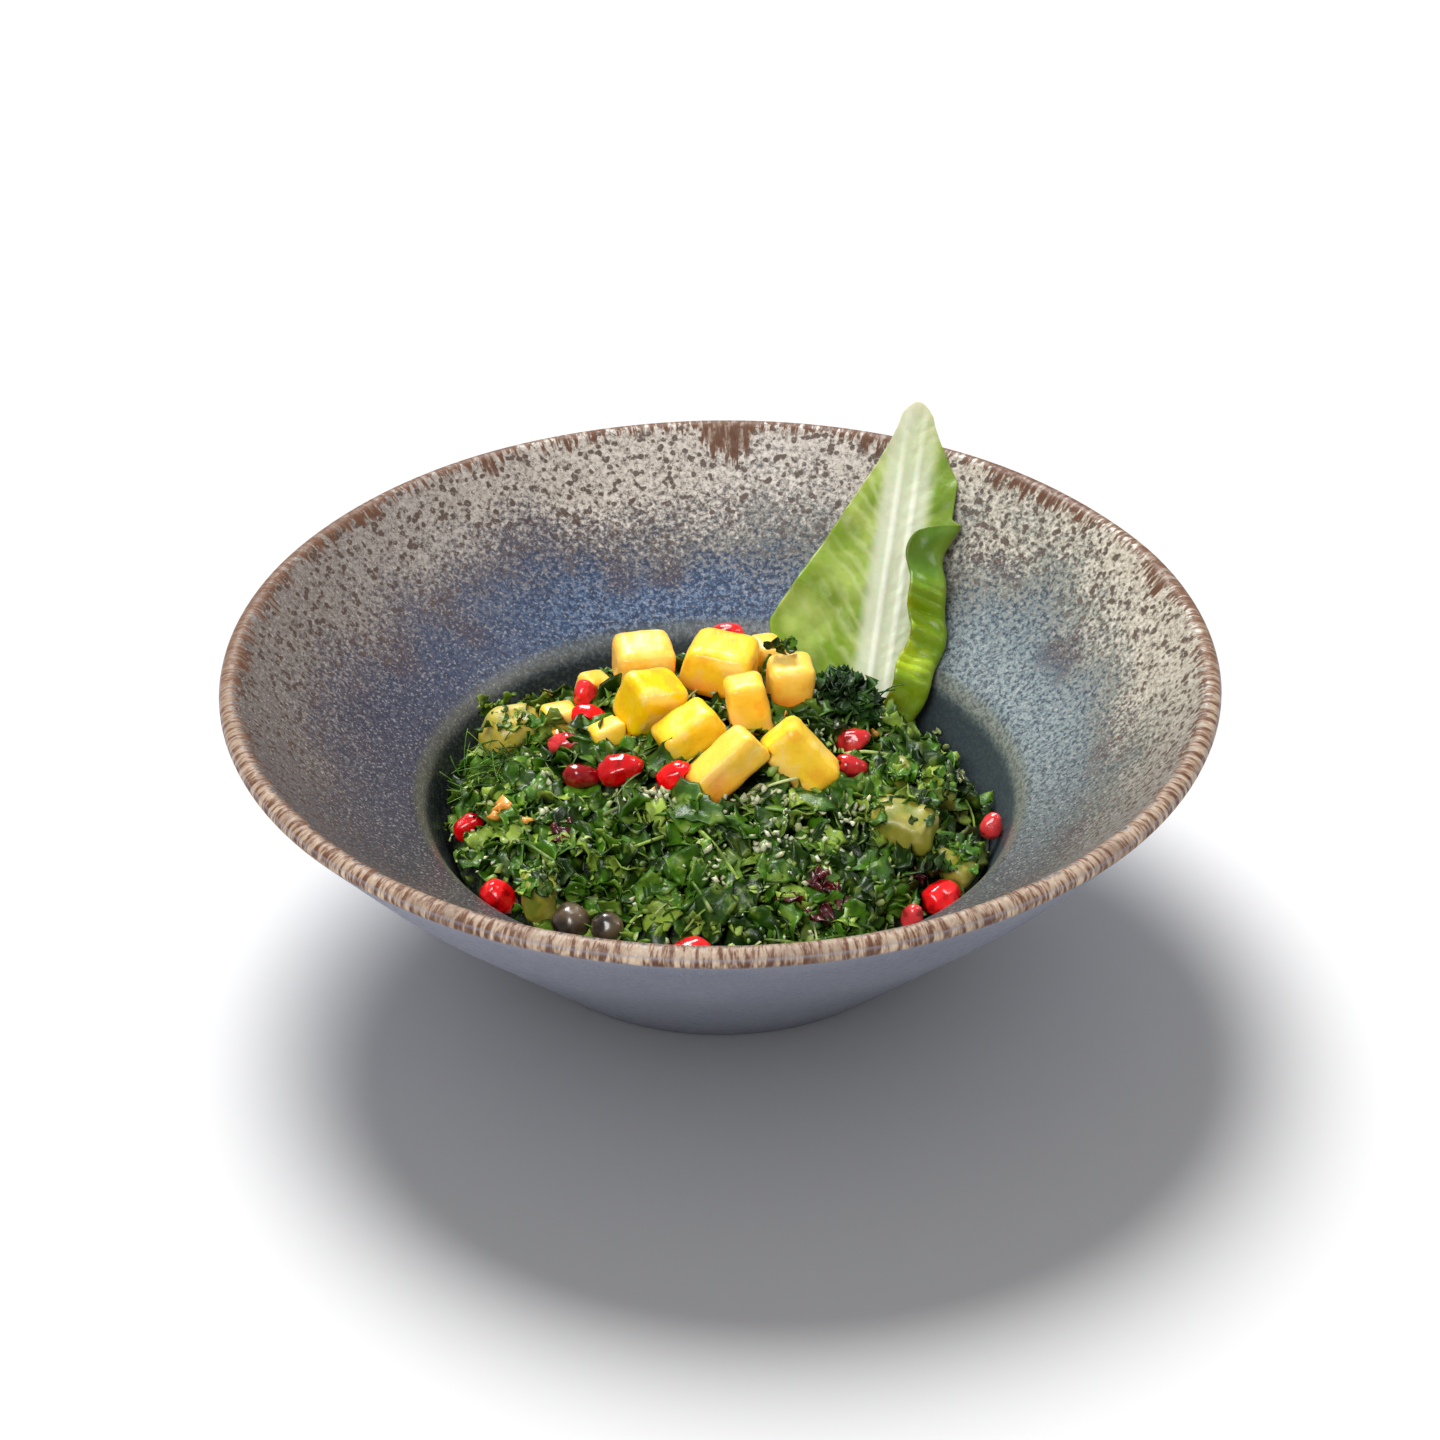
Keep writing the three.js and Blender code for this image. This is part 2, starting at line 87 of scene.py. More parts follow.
class Sheet:  # a material and what is wired into its shader
    def __init__(self, name, **shader):
        self.material = bpy.data.materials.new(name)
        self.material.use_nodes = True
        self.tree = self.material.node_tree
        self.shader = self.tree.nodes["Principled BSDF"]
        for socket, value in shader.items():
            self.shader.inputs[socket.replace("_", " ")].default_value = value

    def join(self, socket, value):
        if isinstance(value, Wire):
            self.tree.links.new(value.socket, socket)
        else:
            socket.default_value = paint(value) if isinstance(value, str) else value

    def add(self, kind, settings, inputs, output=0):
        node = self.tree.nodes.new(kind)
        for name, value in settings.items():
            setattr(node, name, value)
        for key, value in inputs.items() if isinstance(inputs, dict) else enumerate(inputs):
            self.join(node.inputs[key], value)
        return Wire(self, node, output)

    def place(self):  # where a point is, in metres
        return self.add("ShaderNodeTexCoord", {}, {}, "Object")

    def attribute(self, name):
        return self.add("ShaderNodeAttribute", {"attribute_name": name}, {}, "Fac")

    def noise(self, place, scale, detail=2.0, roughness=0.5):
        inputs = {"Vector": place, "Scale": scale, "Detail": detail, "Roughness": roughness}
        return self.add("ShaderNodeTexNoise", {}, inputs)

    def step(self, value, low, high):  # eased from 0 at low to 1 at high
        inputs = {"Value": value, "From Min": low, "From Max": high}
        return self.add("ShaderNodeMapRange", {"interpolation_type": "SMOOTHSTEP"}, inputs)

    def mix(self, share, first, second):
        return self.add("ShaderNodeMix", {"data_type": "RGBA"}, {0: share, 6: first, 7: second}, 2)

    def maths(self, operation, first, second=0.0):
        return self.add("ShaderNodeMath", {"operation": operation}, [first, second])

    def vector(self, operation, first, second, output=0):
        return self.add("ShaderNodeVectorMath", {"operation": operation}, [first, second], output)

    def feed(self, **inputs):
        for socket, value in inputs.items():
            self.join(self.shader.inputs[socket.replace("_", " ")], value)

    def bump(self, height, depth, strength=1.0):
        inputs = {"Height": height, "Distance": depth, "Strength": strength}
        self.feed(Normal=self.add("ShaderNodeBump", {}, inputs))


# making pieces
def meshFrom(work, name):
    mesh = bpy.data.meshes.new(name)
    work.to_mesh(mesh)
    work.free()
    return mesh


def addObject(name, data):
    added = bpy.data.objects.new(name, data)
    bpy.context.scene.collection.objects.link(added)
    return added


def addPiece(name, mesh, sheet, slot, *replaced):
    piece = addObject(name, mesh)
    mesh.materials.append(sheet.material)
    mesh.shade_smooth()
    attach(piece, "root")
    if replaced:
        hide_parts(*replaced)


def boxOf(node):  # the middle of a node's box, half its size, and its top, in mm
    low, high = [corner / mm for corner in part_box(node)]
    return (low + high) / 2, (high - low) / 2, high.z


def revolve(work, facets):  # turns a line round the bowl's axis
    bmesh.ops.spin(work, geom=work.verts[:] + work.edges[:], cent=(0, 0, 0), axis=(0, 0, 1),
                   angle=2 * math.pi, steps=facets, use_merge=True)
    bmesh.ops.remove_doubles(work, verts=work.verts, dist=0.01 * mm)


def softCopy(node, cut):  # a finely meshed copy of a CAD node, its edges eased and its faces uneven
    work = bmesh.new()
    work.from_mesh(nodes[node].data)
    bmesh.ops.remove_doubles(work, verts=work.verts, dist=0.02 * mm)
    carrier = addObject(node + "_carrier", meshFrom(work, node + "_carrier"))
    remesh = carrier.modifiers.new("Remesh", "REMESH")
    remesh.mode = "VOXEL"
    remesh.voxel_size = cut["voxel"] * mm
    evaluated = carrier.evaluated_get(bpy.context.evaluated_depsgraph_get())
    fine = bmesh.new()
    fine.from_mesh(bpy.data.meshes.new_from_object(evaluated))
    bpy.data.objects.remove(carrier)
    axes = {"use_axis_x": True, "use_axis_y": True, "use_axis_z": True}
    for _ in range(cut["easing"]):
        bmesh.ops.smooth_vert(fine, verts=fine.verts, factor=0.5, **axes)
    fine.normal_update()
    for vert in fine.verts:
        broad = noise.noise(vert.co / (cut["waveLength"] * mm))
        vert.co += vert.normal * (cut["wave"] * broad + cut["swell"]) * mm
    bmesh.ops.recalc_face_normals(fine, faces=fine.faces)
    return fine


def scattered(name, template, copies):  # one mesh of many copies, each with its own tint
    template.verts.ensure_lookup_table()
    points = np.array([vert.co for vert in template.verts])
    corners = np.array([[vert.index for vert in face.verts] for face in template.faces])
    allPoints, allCorners, tints = [], [], []
    for count, (matrix, tint) in enumerate(copies):
        turned = np.array(matrix)
        allPoints.append(points @ turned[:3, :3].T + turned[:3, 3])
        allCorners.append(corners + count * len(points))
        tints.append(np.full(len(points), tint, np.float32))
    mesh = bpy.data.meshes.new(name)
    mesh.from_pydata(np.concatenate(allPoints).tolist(), [], np.concatenate(allCorners).tolist())
    mesh.attributes.new("tint", "FLOAT", "POINT").data.foreach_set("value", np.concatenate(tints))
    template.free()
    return mesh


def addCopies(name, template, copies, sheet, slot="chopped_herbs", *replaced):
    addPiece(name, scattered(name, template, copies), sheet, slot, *replaced)


# bowl
bowl = {
    # radius, height and easing of each corner, in mm, from the middle of the foot round to the floor
    "corners": [
        (0, 2, 0), (47.5, 2, 0), (49.5, 0, 0.5), (55.5, 0, 0.6), (56.5, 1, 0.6),
        (103, 46.5, 8), (126.4, 74, 2.6), (121.9, 77.1, 2.4),
        (99, 52.5, 14), (76.6, 38.4, 4), (63, 8, 10), (0, 8, 0),
    ],
    "facets": 168,
    "spacing": 2.6,  # most mm between rings
    "unevenness": 0.35,  # mm, of a lip made by hand
    "unevenFrom": 30,  # mm above the floor
    "unevenRise": 45,
    # where the glaze changes, in mm from the bowl's axis
    "brimFrom": (74.2, 76.6),
    "greyFrom": (89, 101),
    "creamFrom": (99, 115),
    "smudgesFrom": (86, 94),
    "smudgesTo": (112, 100),
    "specksFrom": (86, 112),
    "ridgeFrom": (74.6, 76.2),
    "ridgeTo": (79.5, 77.0),
    "lip": 122.0,
    "lipBreadth": (-0.4, 1.6),
    "lipOutside": (124.7, 125.3),
    "tuftLength": 3,
    "streakLength": 3.2,
    "runLength": 5,
    "runs": [(0.02, 1, 0.0028), (-0.63, 0.77, 0.0035), (0.80, 0.59, 0.003)],  # direction and breadth
    "straying": (30, 22, 44),  # of a zone's edge, by clouds, by small clouds and by speckles
    # where in the speckle noise the flecks and the shade of a zone lie, and how strong the shade is
    "flecking": {
        "blue": ((0.49, 0.60), (0.49, 0.39), 0.75),
        "grey": ((0.50, 0.62), (0.48, 0.38), 0.7),
        "cream": ((0.50, 0.62), (0.48, 0.37), 0.6),
    },
    "paints": {  # a pair goes from left to right, or from dark to light; a left-to-right pair is darker on the left, partly the glaze's own tone and partly painted shade
        "blue": ("#343646", "#68767c"),
        "blueAtBack": "#334b6c",
        "blueFlecks": ("#5f6377", "#8090a6"),
        "blueFlecksAtRight": "#98a2a0",
        "blueShade": "#262b3e",
        "grey": ("#56525b", "#7f837a"),
        "greyFlecks": "#8f8a88",
        "greyShade": "#36323b",
        "cream": ("#8e837a", "#c2b8ad"),
        "creamAtRight": "#bab19f",
        "creamFlecks": "#e6dfd6",
        "creamShade": "#74685f",
        # painted shade on the front of the brim
        "front": "#3a3737",
        # painted shade on the left of the brim
        "left": "#3d3842",
        "smudge": "#3d3340",
        "specks": "#453025",
        "sand": "#ded8d0",
        # the well's wall, darker on the left by painted shade
        "well": ("#1d2125", "#39434a"),
        "wellFlecks": "#4f554b",
        # the ridge's band: partly the glaze's green-beige, partly a painted highlight on the rounded edge
        "ridge": "#77765f",
        "lipFront": "#cdb59b",
        "lipBack": "#85623f",
        "streaks": "#5a341c",
        "lipShade": "#6b4630",
        "tufts": "#573828",
        "outside": ("#7f8396", "#9699a7"),
        "outsideFlecks": "#adadb4",
    },
}
bowlLine = [corner[:2] for corner in bowl["corners"]]
outerLine = bowlLine[:1] + bowlLine[4:7]
innerLine = bowlLine[:6:-1]  # from the middle of the well out to the lip


def heightOn(line, radius):
    return float(np.interp(radius, [r for r, _ in line], [z for _, z in line]))


def bowlMesh():
    work = bmesh.new()
    line = [work.verts.new((r * mm, 0, z * mm)) for r, z in bowlLine]
    for first, second in zip(line, line[1:]):
        work.edges.new((first, second))
    for vert, (_, _, ease) in zip(line, bowl["corners"]):
        if ease:
            bmesh.ops.bevel(work, geom=[vert], offset=ease * mm, offset_type="OFFSET", affect="VERTICES",
                            segments=6, profile=0.5, material=-1)
    for edge in list(work.edges):
        cuts = int(edge.calc_length() / (bowl["spacing"] * mm))
        if cuts:
            bmesh.ops.subdivide_edges(work, edges=[edge], cuts=cuts)
    revolve(work, bowl["facets"])
    bmesh.ops.recalc_face_normals(work, faces=work.faces)
    inside = work.verts.layers.float.new("inside")
    for vert in work.verts:
        radius, height = vert.co.xy.length / mm, vert.co.z / mm
        middle = (heightOn(innerLine, radius) + heightOn(outerLine, radius)) / 2
        vert[inside] = 1.0 if height > middle else 0.0
        sway = noise.noise(Vector((vert.co.x, vert.co.y, 0)) * 22)
        free = max(0, (height - bowl["unevenFrom"]) / bowl["unevenRise"])
        vert.co.z += bowl["unevenness"] * mm * sway * free
    return meshFrom(work, "glazed_bowl")


def glazePlaces(sheet):  # where a point is on the bowl, and the noises that break up the zones
    at = SimpleNamespace(place=sheet.place())
    flat = sheet.vector("MULTIPLY", at.place, (1, 1, 0))
    at.direction = sheet.vector("NORMALIZE", flat, (0, 0, 0))
    at.radius = sheet.vector("LENGTH", flat, (0, 0, 0), "Value") * 1000
    at.toRight = sheet.vector("DOT_PRODUCT", at.direction, (0.94, 0.34, 0), "Value")
    at.toBack = sheet.vector("DOT_PRODUCT", at.direction, (0, 1, 0), "Value")
    at.cloud = sheet.noise(at.place, 16, 3)
    at.speckle = sheet.noise(at.place, 820, 3, 0.65)
    clouds, smallClouds, speckles = bowl["straying"]
    at.drift = at.radius + (at.cloud - 0.5) * clouds + (sheet.noise(at.place, 60, 3) - 0.5) * smallClouds
    at.drift = at.drift + (at.speckle - 0.5) * speckles
    at.drift = at.drift - sheet.step(at.toBack, 0.2, 0.9) * 3 + sheet.step(at.toRight, 0.2, -0.8) * 2
    return at


def flecked(sheet, at, zone, base, flecks, fleckShare):
    fleckSpan, shadeSpan, shadeShare = bowl["flecking"][zone]
    base = sheet.mix(sheet.step(at.speckle, *fleckSpan) * fleckShare, base, flecks)
    return sheet.mix(sheet.step(at.speckle, *shadeSpan) * shadeShare, base, bowl["paints"][zone + "Shade"])


def brimZones(sheet, at):  # from the well outwards: blue, then grey, then cream
    paints = bowl["paints"]
    # blue, grey and cream each darken towards the left: partly the glaze's own tone, partly painted shade
    blue = sheet.mix(sheet.step(at.toRight, -0.6, 0.9), *paints["blue"])
    atBack = sheet.step(at.toBack, 0.1, 0.9) * sheet.step(at.toRight, 0.8, 0.4)
    blue = sheet.mix(atBack, blue, paints["blueAtBack"])
    flecks = sheet.mix(sheet.step(at.toRight, -0.7, 0.1), *paints["blueFlecks"])
    flecks = sheet.mix(sheet.step(at.toRight, 0.5, 1.0), flecks, paints["blueFlecksAtRight"])
    blue = flecked(sheet, at, "blue", blue, flecks, 0.6)
    grey = sheet.mix(sheet.step(at.toRight, -0.3, 1.0), *paints["grey"])
    grey = flecked(sheet, at, "grey", grey, paints["greyFlecks"], 0.5)
    cream = sheet.mix(sheet.step(at.toRight, -1.0, 0.3), *paints["cream"])
    cream = sheet.mix(sheet.step(at.toRight, 0.45, 0.95), cream, paints["creamAtRight"])
    fleckShare = 0.15 + sheet.step(at.toRight, -0.7, 0.2) * 0.35
    cream = flecked(sheet, at, "cream", cream, paints["creamFlecks"], fleckShare)
    brim = sheet.mix(sheet.step(at.drift, *bowl["greyFrom"]), blue, grey)
    brim = sheet.mix(sheet.step(at.drift, *bowl["creamFrom"]), brim, cream)
    # painted shade over the front of the brim
    brim = sheet.mix(sheet.step(at.toBack, 0.4, -0.8) * 0.84, brim, paints["front"])
    # painted shade over the left of the brim
    brim = sheet.mix(sheet.step(at.toRight, 0.15, -0.7) * 0.35, brim, paints["left"])
    smudge = sheet.step(sheet.noise(at.place, 62, 2), 0.54, 0.68) * sheet.step(at.drift, *bowl["smudgesFrom"])
    smudge = smudge * sheet.step(at.drift, *bowl["smudgesTo"]) * 0.6
    return sheet.mix(smudge, brim, paints["smudge"])


def glazeSpecks(sheet, at):  # brown specks where the glaze is thin, more of them outwards
    thin = sheet.step(at.drift, *bowl["specksFrom"])
    cells = sheet.add("ShaderNodeTexVoronoi", {}, {"Vector": at.place, "Scale": 460.0})
    dots = cells + (sheet.noise(at.place, 380, 2, 0.5) - 0.5) * 1.7
    specks = sheet.step(dots - thin * 0.08, 0.31, 0.15)
    veinlets = sheet.step(abs(sheet.noise(at.place, 330, 3, 0.6) - 0.5), 0.020, 0.005)
    specks = sheet.maths("MAXIMUM", specks, veinlets * sheet.step(at.cloud, 0.4, 0.58) * 0.75)
    return specks, specks * (0.15 + thin * 0.75)


def glazeLip(sheet, at):  # brown, streaked outwards, with a few runs into the brim
    paints = bowl["paints"]
    swirl = sheet.vector("ADD", at.direction, sheet.vector("MULTIPLY", at.place, (2, 2, 2)))
    streak = sheet.noise(swirl, 66, 3, 0.65)
    tufts = sheet.noise(at.direction, 7.5, 3, 0.6)
    runs = 0
    for x, y, breadth in bowl["runs"]:
        near = sheet.vector("DOT_PRODUCT", at.direction, (x, y, 0), "Value")
        runs = sheet.step(near, 1 - breadth, 1) + runs
    start = bowl["lip"] - sheet.step(tufts, 0.44, 0.70) * bowl["tuftLength"] - runs * bowl["runLength"]
    start = start - sheet.step(streak, 0.40, 0.62) * bowl["streakLength"]
    atBack = sheet.step(at.toBack, -0.5, 0.3)
    lip = sheet.mix(atBack, paints["lipFront"], paints["lipBack"])
    lip = sheet.mix(sheet.step(streak, 0.62, 0.36), paints["streaks"], lip)
    lip = sheet.mix(atBack * 0.4, lip, paints["lipShade"])
    lip = sheet.mix(sheet.step(tufts, 0.45, 0.7) * 0.5, lip, paints["tufts"])
    return lip, streak, sheet.step(at.radius - start, *bowl["lipBreadth"])


def glazeFinish():
    sheet = Sheet("reactive_glaze", Specular_IOR_Level=0.45)
    paints = bowl["paints"]
    at = glazePlaces(sheet)
    specks, speckShare = glazeSpecks(sheet, at)
    brim = sheet.mix(speckShare, brimZones(sheet, at), paints["specks"])
    sand = sheet.noise(at.place, 1300, 2, 0.5)
    brim = sheet.mix(sheet.step(sand, 0.56, 0.68) * 0.25, brim, paints["sand"])

    # painted shade: the well's wall darkens towards the left
    well = sheet.mix(sheet.step(at.toRight, -0.5, 0.8), *paints["well"])
    well = sheet.mix(sheet.step(at.speckle, 0.46, 0.62) * 0.4, well, paints["wellFlecks"])
    # a lighter band on the well's ridge: partly the glaze's green-beige, partly a painted highlight
    ridge = sheet.step(at.radius, *bowl["ridgeFrom"]) * sheet.step(at.radius, *bowl["ridgeTo"])
    inner = sheet.mix(sheet.step(at.radius, *bowl["brimFrom"]), well, brim)
    inner = sheet.mix(ridge * (0.25 + at.speckle * 0.3), inner, paints["ridge"])

    lip, streak, onLip = glazeLip(sheet, at)
    inner = sheet.mix(onLip * (0.6 + sheet.step(streak, 0.38, 0.55) * 0.4), inner, lip)
    outside = sheet.mix(sheet.noise(at.place, 40, 3), *paints["outside"])
    outside = sheet.mix(sheet.step(at.speckle, 0.52, 0.64) * 0.3, outside, paints["outsideFlecks"])
    outside = sheet.mix(sheet.step(at.radius, *bowl["lipOutside"]), outside, lip)
    sheet.feed(Base_Color=sheet.mix(sheet.attribute("inside"), outside, inner),
               Roughness=0.36 + specks * 0.2 + onLip * 0.16 + (at.cloud - 0.5) * 0.3)
    sheet.bump(at.speckle * 0.8 + streak * onLip * 0.7, 0.3 * mm, 0.7)
    return sheet


addPiece("glazed_bowl", bowlMesh(), glazeFinish(), "stoneware_glaze", "bowl")
print("bowl made")

# chopped salad
mound = {  # all in mm
    "crown": (-4, 12, 52),
    "edge": 25.5,
    "edgeTilt": 3.5,
    "edgeTiltAngle": 235,  # degrees
    "fullness": 2.3,
    "wallRoom": 0.9,
    "core": [(0, 8.4), (60, 8.4), (62, 10), (69, 24), (0, 24)],  # radius and height, before it is heaped up
    "coreCuts": (4, 1, 8, 48),
    "coreFacets": 180,
    "coreDrop": 3.2,  # the dark core lies this far below the leaves
    "coreEdge": 69.2,
    "coreEdgeWidth": 4,
    "relief": 2.0,
    "reliefLengths": (4.2, 1.9),
    "fineRelief": 0.6,  # a share of the relief
    "clumpHeight": 5,
    "clumpLength": 11,
    "leafRoom": 0.75,  # how much of a leaf's half length stays inside the well
    "tries": 60,  # for each leaf: a patch under a topping may stay bare
}


def wellRadius(height):
    (lowRadius, lowHeight), (highRadius, highHeight) = innerLine[1:3]
    share = (height - lowHeight) * (highRadius - lowRadius) / (highHeight - lowHeight)
    return lowRadius + share - mound["wallRoom"]


def moundHeight(x, y):
    crownX, crownY, crownHeight = mound["crown"]
    angle = math.atan2(y, x)
    edge = mound["edge"] + mound["edgeTilt"] * math.cos(angle - math.radians(mound["edgeTiltAngle"]))
    reach = wellRadius(edge) - crownX * math.cos(angle) - crownY * math.sin(angle)
    outward = min(1, math.hypot(x - crownX, y - crownY) / reach)
    return edge + (crownHeight - edge) * (1 - outward ** mound["fullness"])


def coreMesh():
    work = bmesh.new()
    line = [work.verts.new((r * mm, 0, z * mm)) for r, z in mound["core"]]
    edges = [work.edges.new(pair) for pair in zip(line, line[1:])]
    for edge, cuts in zip(edges, mound["coreCuts"]):
        bmesh.ops.subdivide_edges(work, edges=[edge], cuts=cuts)
    revolve(work, mound["coreFacets"])
    flatTop = mound["core"][-1][1]
    broad, fine = mound["reliefLengths"]
    for vert in work.verts:
        if vert.co.z < (flatTop - 0.1) * mm:
            continue
        x, y = vert.co.x / mm, vert.co.y / mm
        rough = noise.noise(Vector((x / broad, y / broad, 0)))
        rough += mound["fineRelief"] * noise.noise(Vector((x / fine, y / fine, 5)))
        heaped = max(0, min(1, (mound["coreEdge"] - math.hypot(x, y)) / mound["coreEdgeWidth"]))
        top = moundHeight(x, y) - mound["coreDrop"] + mound["relief"] * rough
        vert.co.z = mm * (flatTop + (top - flatTop) * heaped)
    bmesh.ops.recalc_face_normals(work, faces=work.faces)
    return meshFrom(work, "herb_core")


def coreFinish():
    sheet = Sheet("herb_shadow", Roughness=0.55)
    fine = sheet.noise(sheet.place(), 420, 3)
    green = sheet.mix(sheet.step(fine, 0.4, 0.65), "#0f1a08", "#2f4a17")
    sheet.feed(Base_Color=green)
    sheet.bump(fine, 1.2 * mm)
    return sheet


addPiece("herb_core", coreMesh(), coreFinish(), "chopped_herbs", "salad_heap")

toppings = [(name.split("_")[0], *boxOf(name)) for name in nodes
            if name not in ("bowl", "salad_heap", "lettuce_leaf")]
toppingRoom = {  # mm round a topping that stay free of leaves
    "pomegranate": 1.2,
    "grape": -1.6,
    "mango": 0.1,
    "avocado": -2.2,
    "parsley": 0,
    "above": 1,
    "share": 0.92,  # of the oval in its box
}


def coveredBy(x, y, height, spare):  # a topping is in the way of a leaf here
    for kind, middle, half, top in toppings:
        edge = spare + toppingRoom[kind]
        across = math.hypot((x - middle.x) / (half.x + edge), (y - middle.y) / (half.y + edge))
        if across < toppingRoom["share"] and height < top + toppingRoom["above"]:
            return True
    return False


def leaflet(kind):  # one small leaf as a thin closed lens, 2 across, from a flattened ball
    work = bmesh.new()
    bmesh.ops.create_uvsphere(work, u_segments=kind["corners"], v_segments=kind["rings"], radius=1)
    bmesh.ops.triangulate(work, faces=work.faces)
    for vert in work.verts:
        out, side = vert.co.xy.length, vert.co.z
        angle = math.atan2(vert.co.y, vert.co.x)
        tooth = 1 + kind["teeth"] * math.cos(kind["corners"] / 2 * angle)
        lobe = 1 - kind["lobes"] * (0.5 - 0.5 * math.cos(kind["lobeCount"] * angle))
        reach = out * (1 + (tooth * lobe - 1) * out)
        x, y = reach * math.cos(angle), kind["width"] * reach * math.sin(angle)
        ruffle = kind["ruffle"] * out * out * math.sin(kind["ruffles"] * angle + 1)
        fold = kind["fold"] * abs(y) - kind["droop"] * x * x
        vert.co = (x, y, ruffle + fold + kind["thickness"] * side)
    bmesh.ops.recalc_face_normals(work, faces=work.faces)
    return work


curlyLeaf = {"corners": 14, "rings": 4, "teeth": 0.1, "lobes": 0.36, "lobeCount": 3, "width": 0.95,
             "ruffle": 0.34, "ruffles": 3, "fold": 0.1, "droop": 0.25, "thickness": 0.05,
             "strewn": {"count": 820, "size": (3.2, 6.8), "lift": (-1.8, 2.6), "tilt": 38}}
flatLeaf = {"corners": 16, "rings": 4, "teeth": 0.1, "lobes": 0.2, "lobeCount": 3, "width": 0.6,
            "ruffle": 0.08, "ruffles": 3, "fold": 0.35, "droop": 0.3, "thickness": 0.045,
            "strewn": {"count": 420, "size": (4.2, 8.4), "lift": (-1.2, 2.6), "tilt": 30}}
snipLeaf = {"corners": 7, "rings": 3, "teeth": 0.2, "lobes": 0.3, "lobeCount": 2, "width": 0.7,
            "ruffle": 0.2, "ruffles": 2, "fold": 0.2, "droop": 0.3, "thickness": 0.12,
            "strewn": {"count": 1300, "size": (1.0, 2.3), "lift": (0.5, 3.8), "tilt": 40, "spare": 0.5}}


def slopeAt(x, y):  # the mound's own outward direction
    dx = moundHeight(x + 1, y) - moundHeight(x - 1, y)
    dy = moundHeight(x, y + 1) - moundHeight(x, y - 1)
    return Vector((-dx / 2, -dy / 2, 1)).normalized()


def resting(x, y, height, size, tilt, stretch=(1, 1, 1)):
    spin = Matrix.Rotation(chance.uniform(0, 2 * math.pi), 4, "Z")
    lean = Euler((math.radians(chance.gauss(0, tilt)), math.radians(chance.gauss(0, tilt)), 0)).to_matrix()
    onSlope = slopeAt(x, y).to_track_quat("Z", "Y").to_matrix().to_4x4()
    scale = Matrix.Diagonal((*[size * part * mm for part in stretch], 1))
    return Matrix.Translation(Vector((x, y, height)) * mm) @ onSlope @ lean.to_4x4() @ spin @ scale


def strewn(count, size, lift, tilt, spare=0.0, stretch=(1, 1, 1), patch=(0, 0, 70)):
    copies = []
    centreX, centreY, patchRadius = patch
    for _ in range(mound["tries"] * count):
        if len(copies) == count:
            break
        angle, out = chance.uniform(0, 2 * math.pi), math.sqrt(chance.random())
        half = chance.uniform(*size)
        x, y = centreX + patchRadius * out * math.cos(angle), centreY + patchRadius * out * math.sin(angle)
        height = moundHeight(x, y) + chance.uniform(*lift)
        clump = Vector((x / mound["clumpLength"], y / mound["clumpLength"], 3))
        height += mound["clumpHeight"] * noise.noise(clump)
        inWell = math.hypot(x, y) < wellRadius(height) - mound["leafRoom"] * half
        if inWell and not coveredBy(x, y, height, spare):
            copies.append((resting(x, y, height, half, tilt, stretch), chance.random()))
    return copies


def herbFinish(name, deep, bright, pale, shine):
    sheet = Sheet(name, Specular_IOR_Level=0.35)
    place = sheet.place()
    tint = sheet.attribute("tint")
    green = sheet.mix(sheet.step(tint, 0.0, 0.75), deep, bright)
    green = sheet.mix(sheet.step(tint, 0.78, 1.0), green, pale)
    patchy = sheet.noise(place, 260, 2)
    green = sheet.mix(sheet.step(patchy, 0.5, 0.72) * 0.4, green, pale)
    green = sheet.mix(sheet.step(patchy, 0.5, 0.3) * 0.45, green, "#12200a")
    clumps = sheet.noise(place, 85, 2)
    green = sheet.mix(sheet.step(clumps, 0.52, 0.36) * 0.55, green, "#0d1906")
    sheet.feed(Base_Color=green, Roughness=shine + sheet.noise(place, 500, 1) * 0.25)
    sheet.bump(sheet.noise(place, 900, 2), 0.3 * mm, 0.6)
    return sheet


herbs = herbFinish("parsley_green", "#183304", "#447312", "#98b044", 0.24)
paleHerbs = herbFinish("pale_snips", "#496d1b", "#88a53e", "#cbd294", 0.26)

addCopies("curly_leaves", leaflet(curlyLeaf), strewn(**curlyLeaf["strewn"]), herbs)
addCopies("flat_leaves", leaflet(flatLeaf), strewn(**flatLeaf["strewn"]), herbs)
addCopies("leaf_snips", leaflet(snipLeaf), strewn(**snipLeaf["strewn"]), paleHerbs)
print("leaves strewn")

grain = {
    "paints": ("#86925e", "#d2d5b6"),
    "flattening": (1, 0.68, 0.5),
    "strewn": {"count": 380, "size": (0.6, 1.2), "lift": (0.8, 3.6), "tilt": 50, "spare": 0.5},
    "heap": {"count": 70, "size": (0.7, 1.4), "lift": (1.2, 3.8), "tilt": 50, "spare": 0.5,
             "patch": (20, -34, 14)},
    "clump": {"count": 10, "size": (0.9, 1.9), "lift": (2.2, 4.6), "tilt": 50},
    "clumpRadius": 3.5,
    "clumpsAt": [(8, -24), (16, -26), (-16, -24), (-3, -48), (12, -40), (-42, -22), (-46, -10),
                 (-48, 4), (34, -22)],
}
stem = {
    "radii": (0.055, 0.04),  # shares of its half length
    "droop": 0.22,
    "strewn": {"count": 75, "size": (4, 10), "lift": (0.5, 3.4), "tilt": 14},
    "fronds": {"count": 70, "size": (3.5, 7), "lift": (2, 7.5), "tilt": 40, "stretch": (1, 0.5, 0.5),
               "patch": (-60, 8, 11)},
}


def grainTemplate():
    work = bmesh.new()
    bmesh.ops.create_icosphere(work, subdivisions=1, radius=1)
    for vert in work.verts:
        vert.co *= 0.85 + 0.7 * noise.noise(vert.co * 1.3)
    bmesh.ops.scale(work, verts=work.verts, vec=grain["flattening"])
    return work


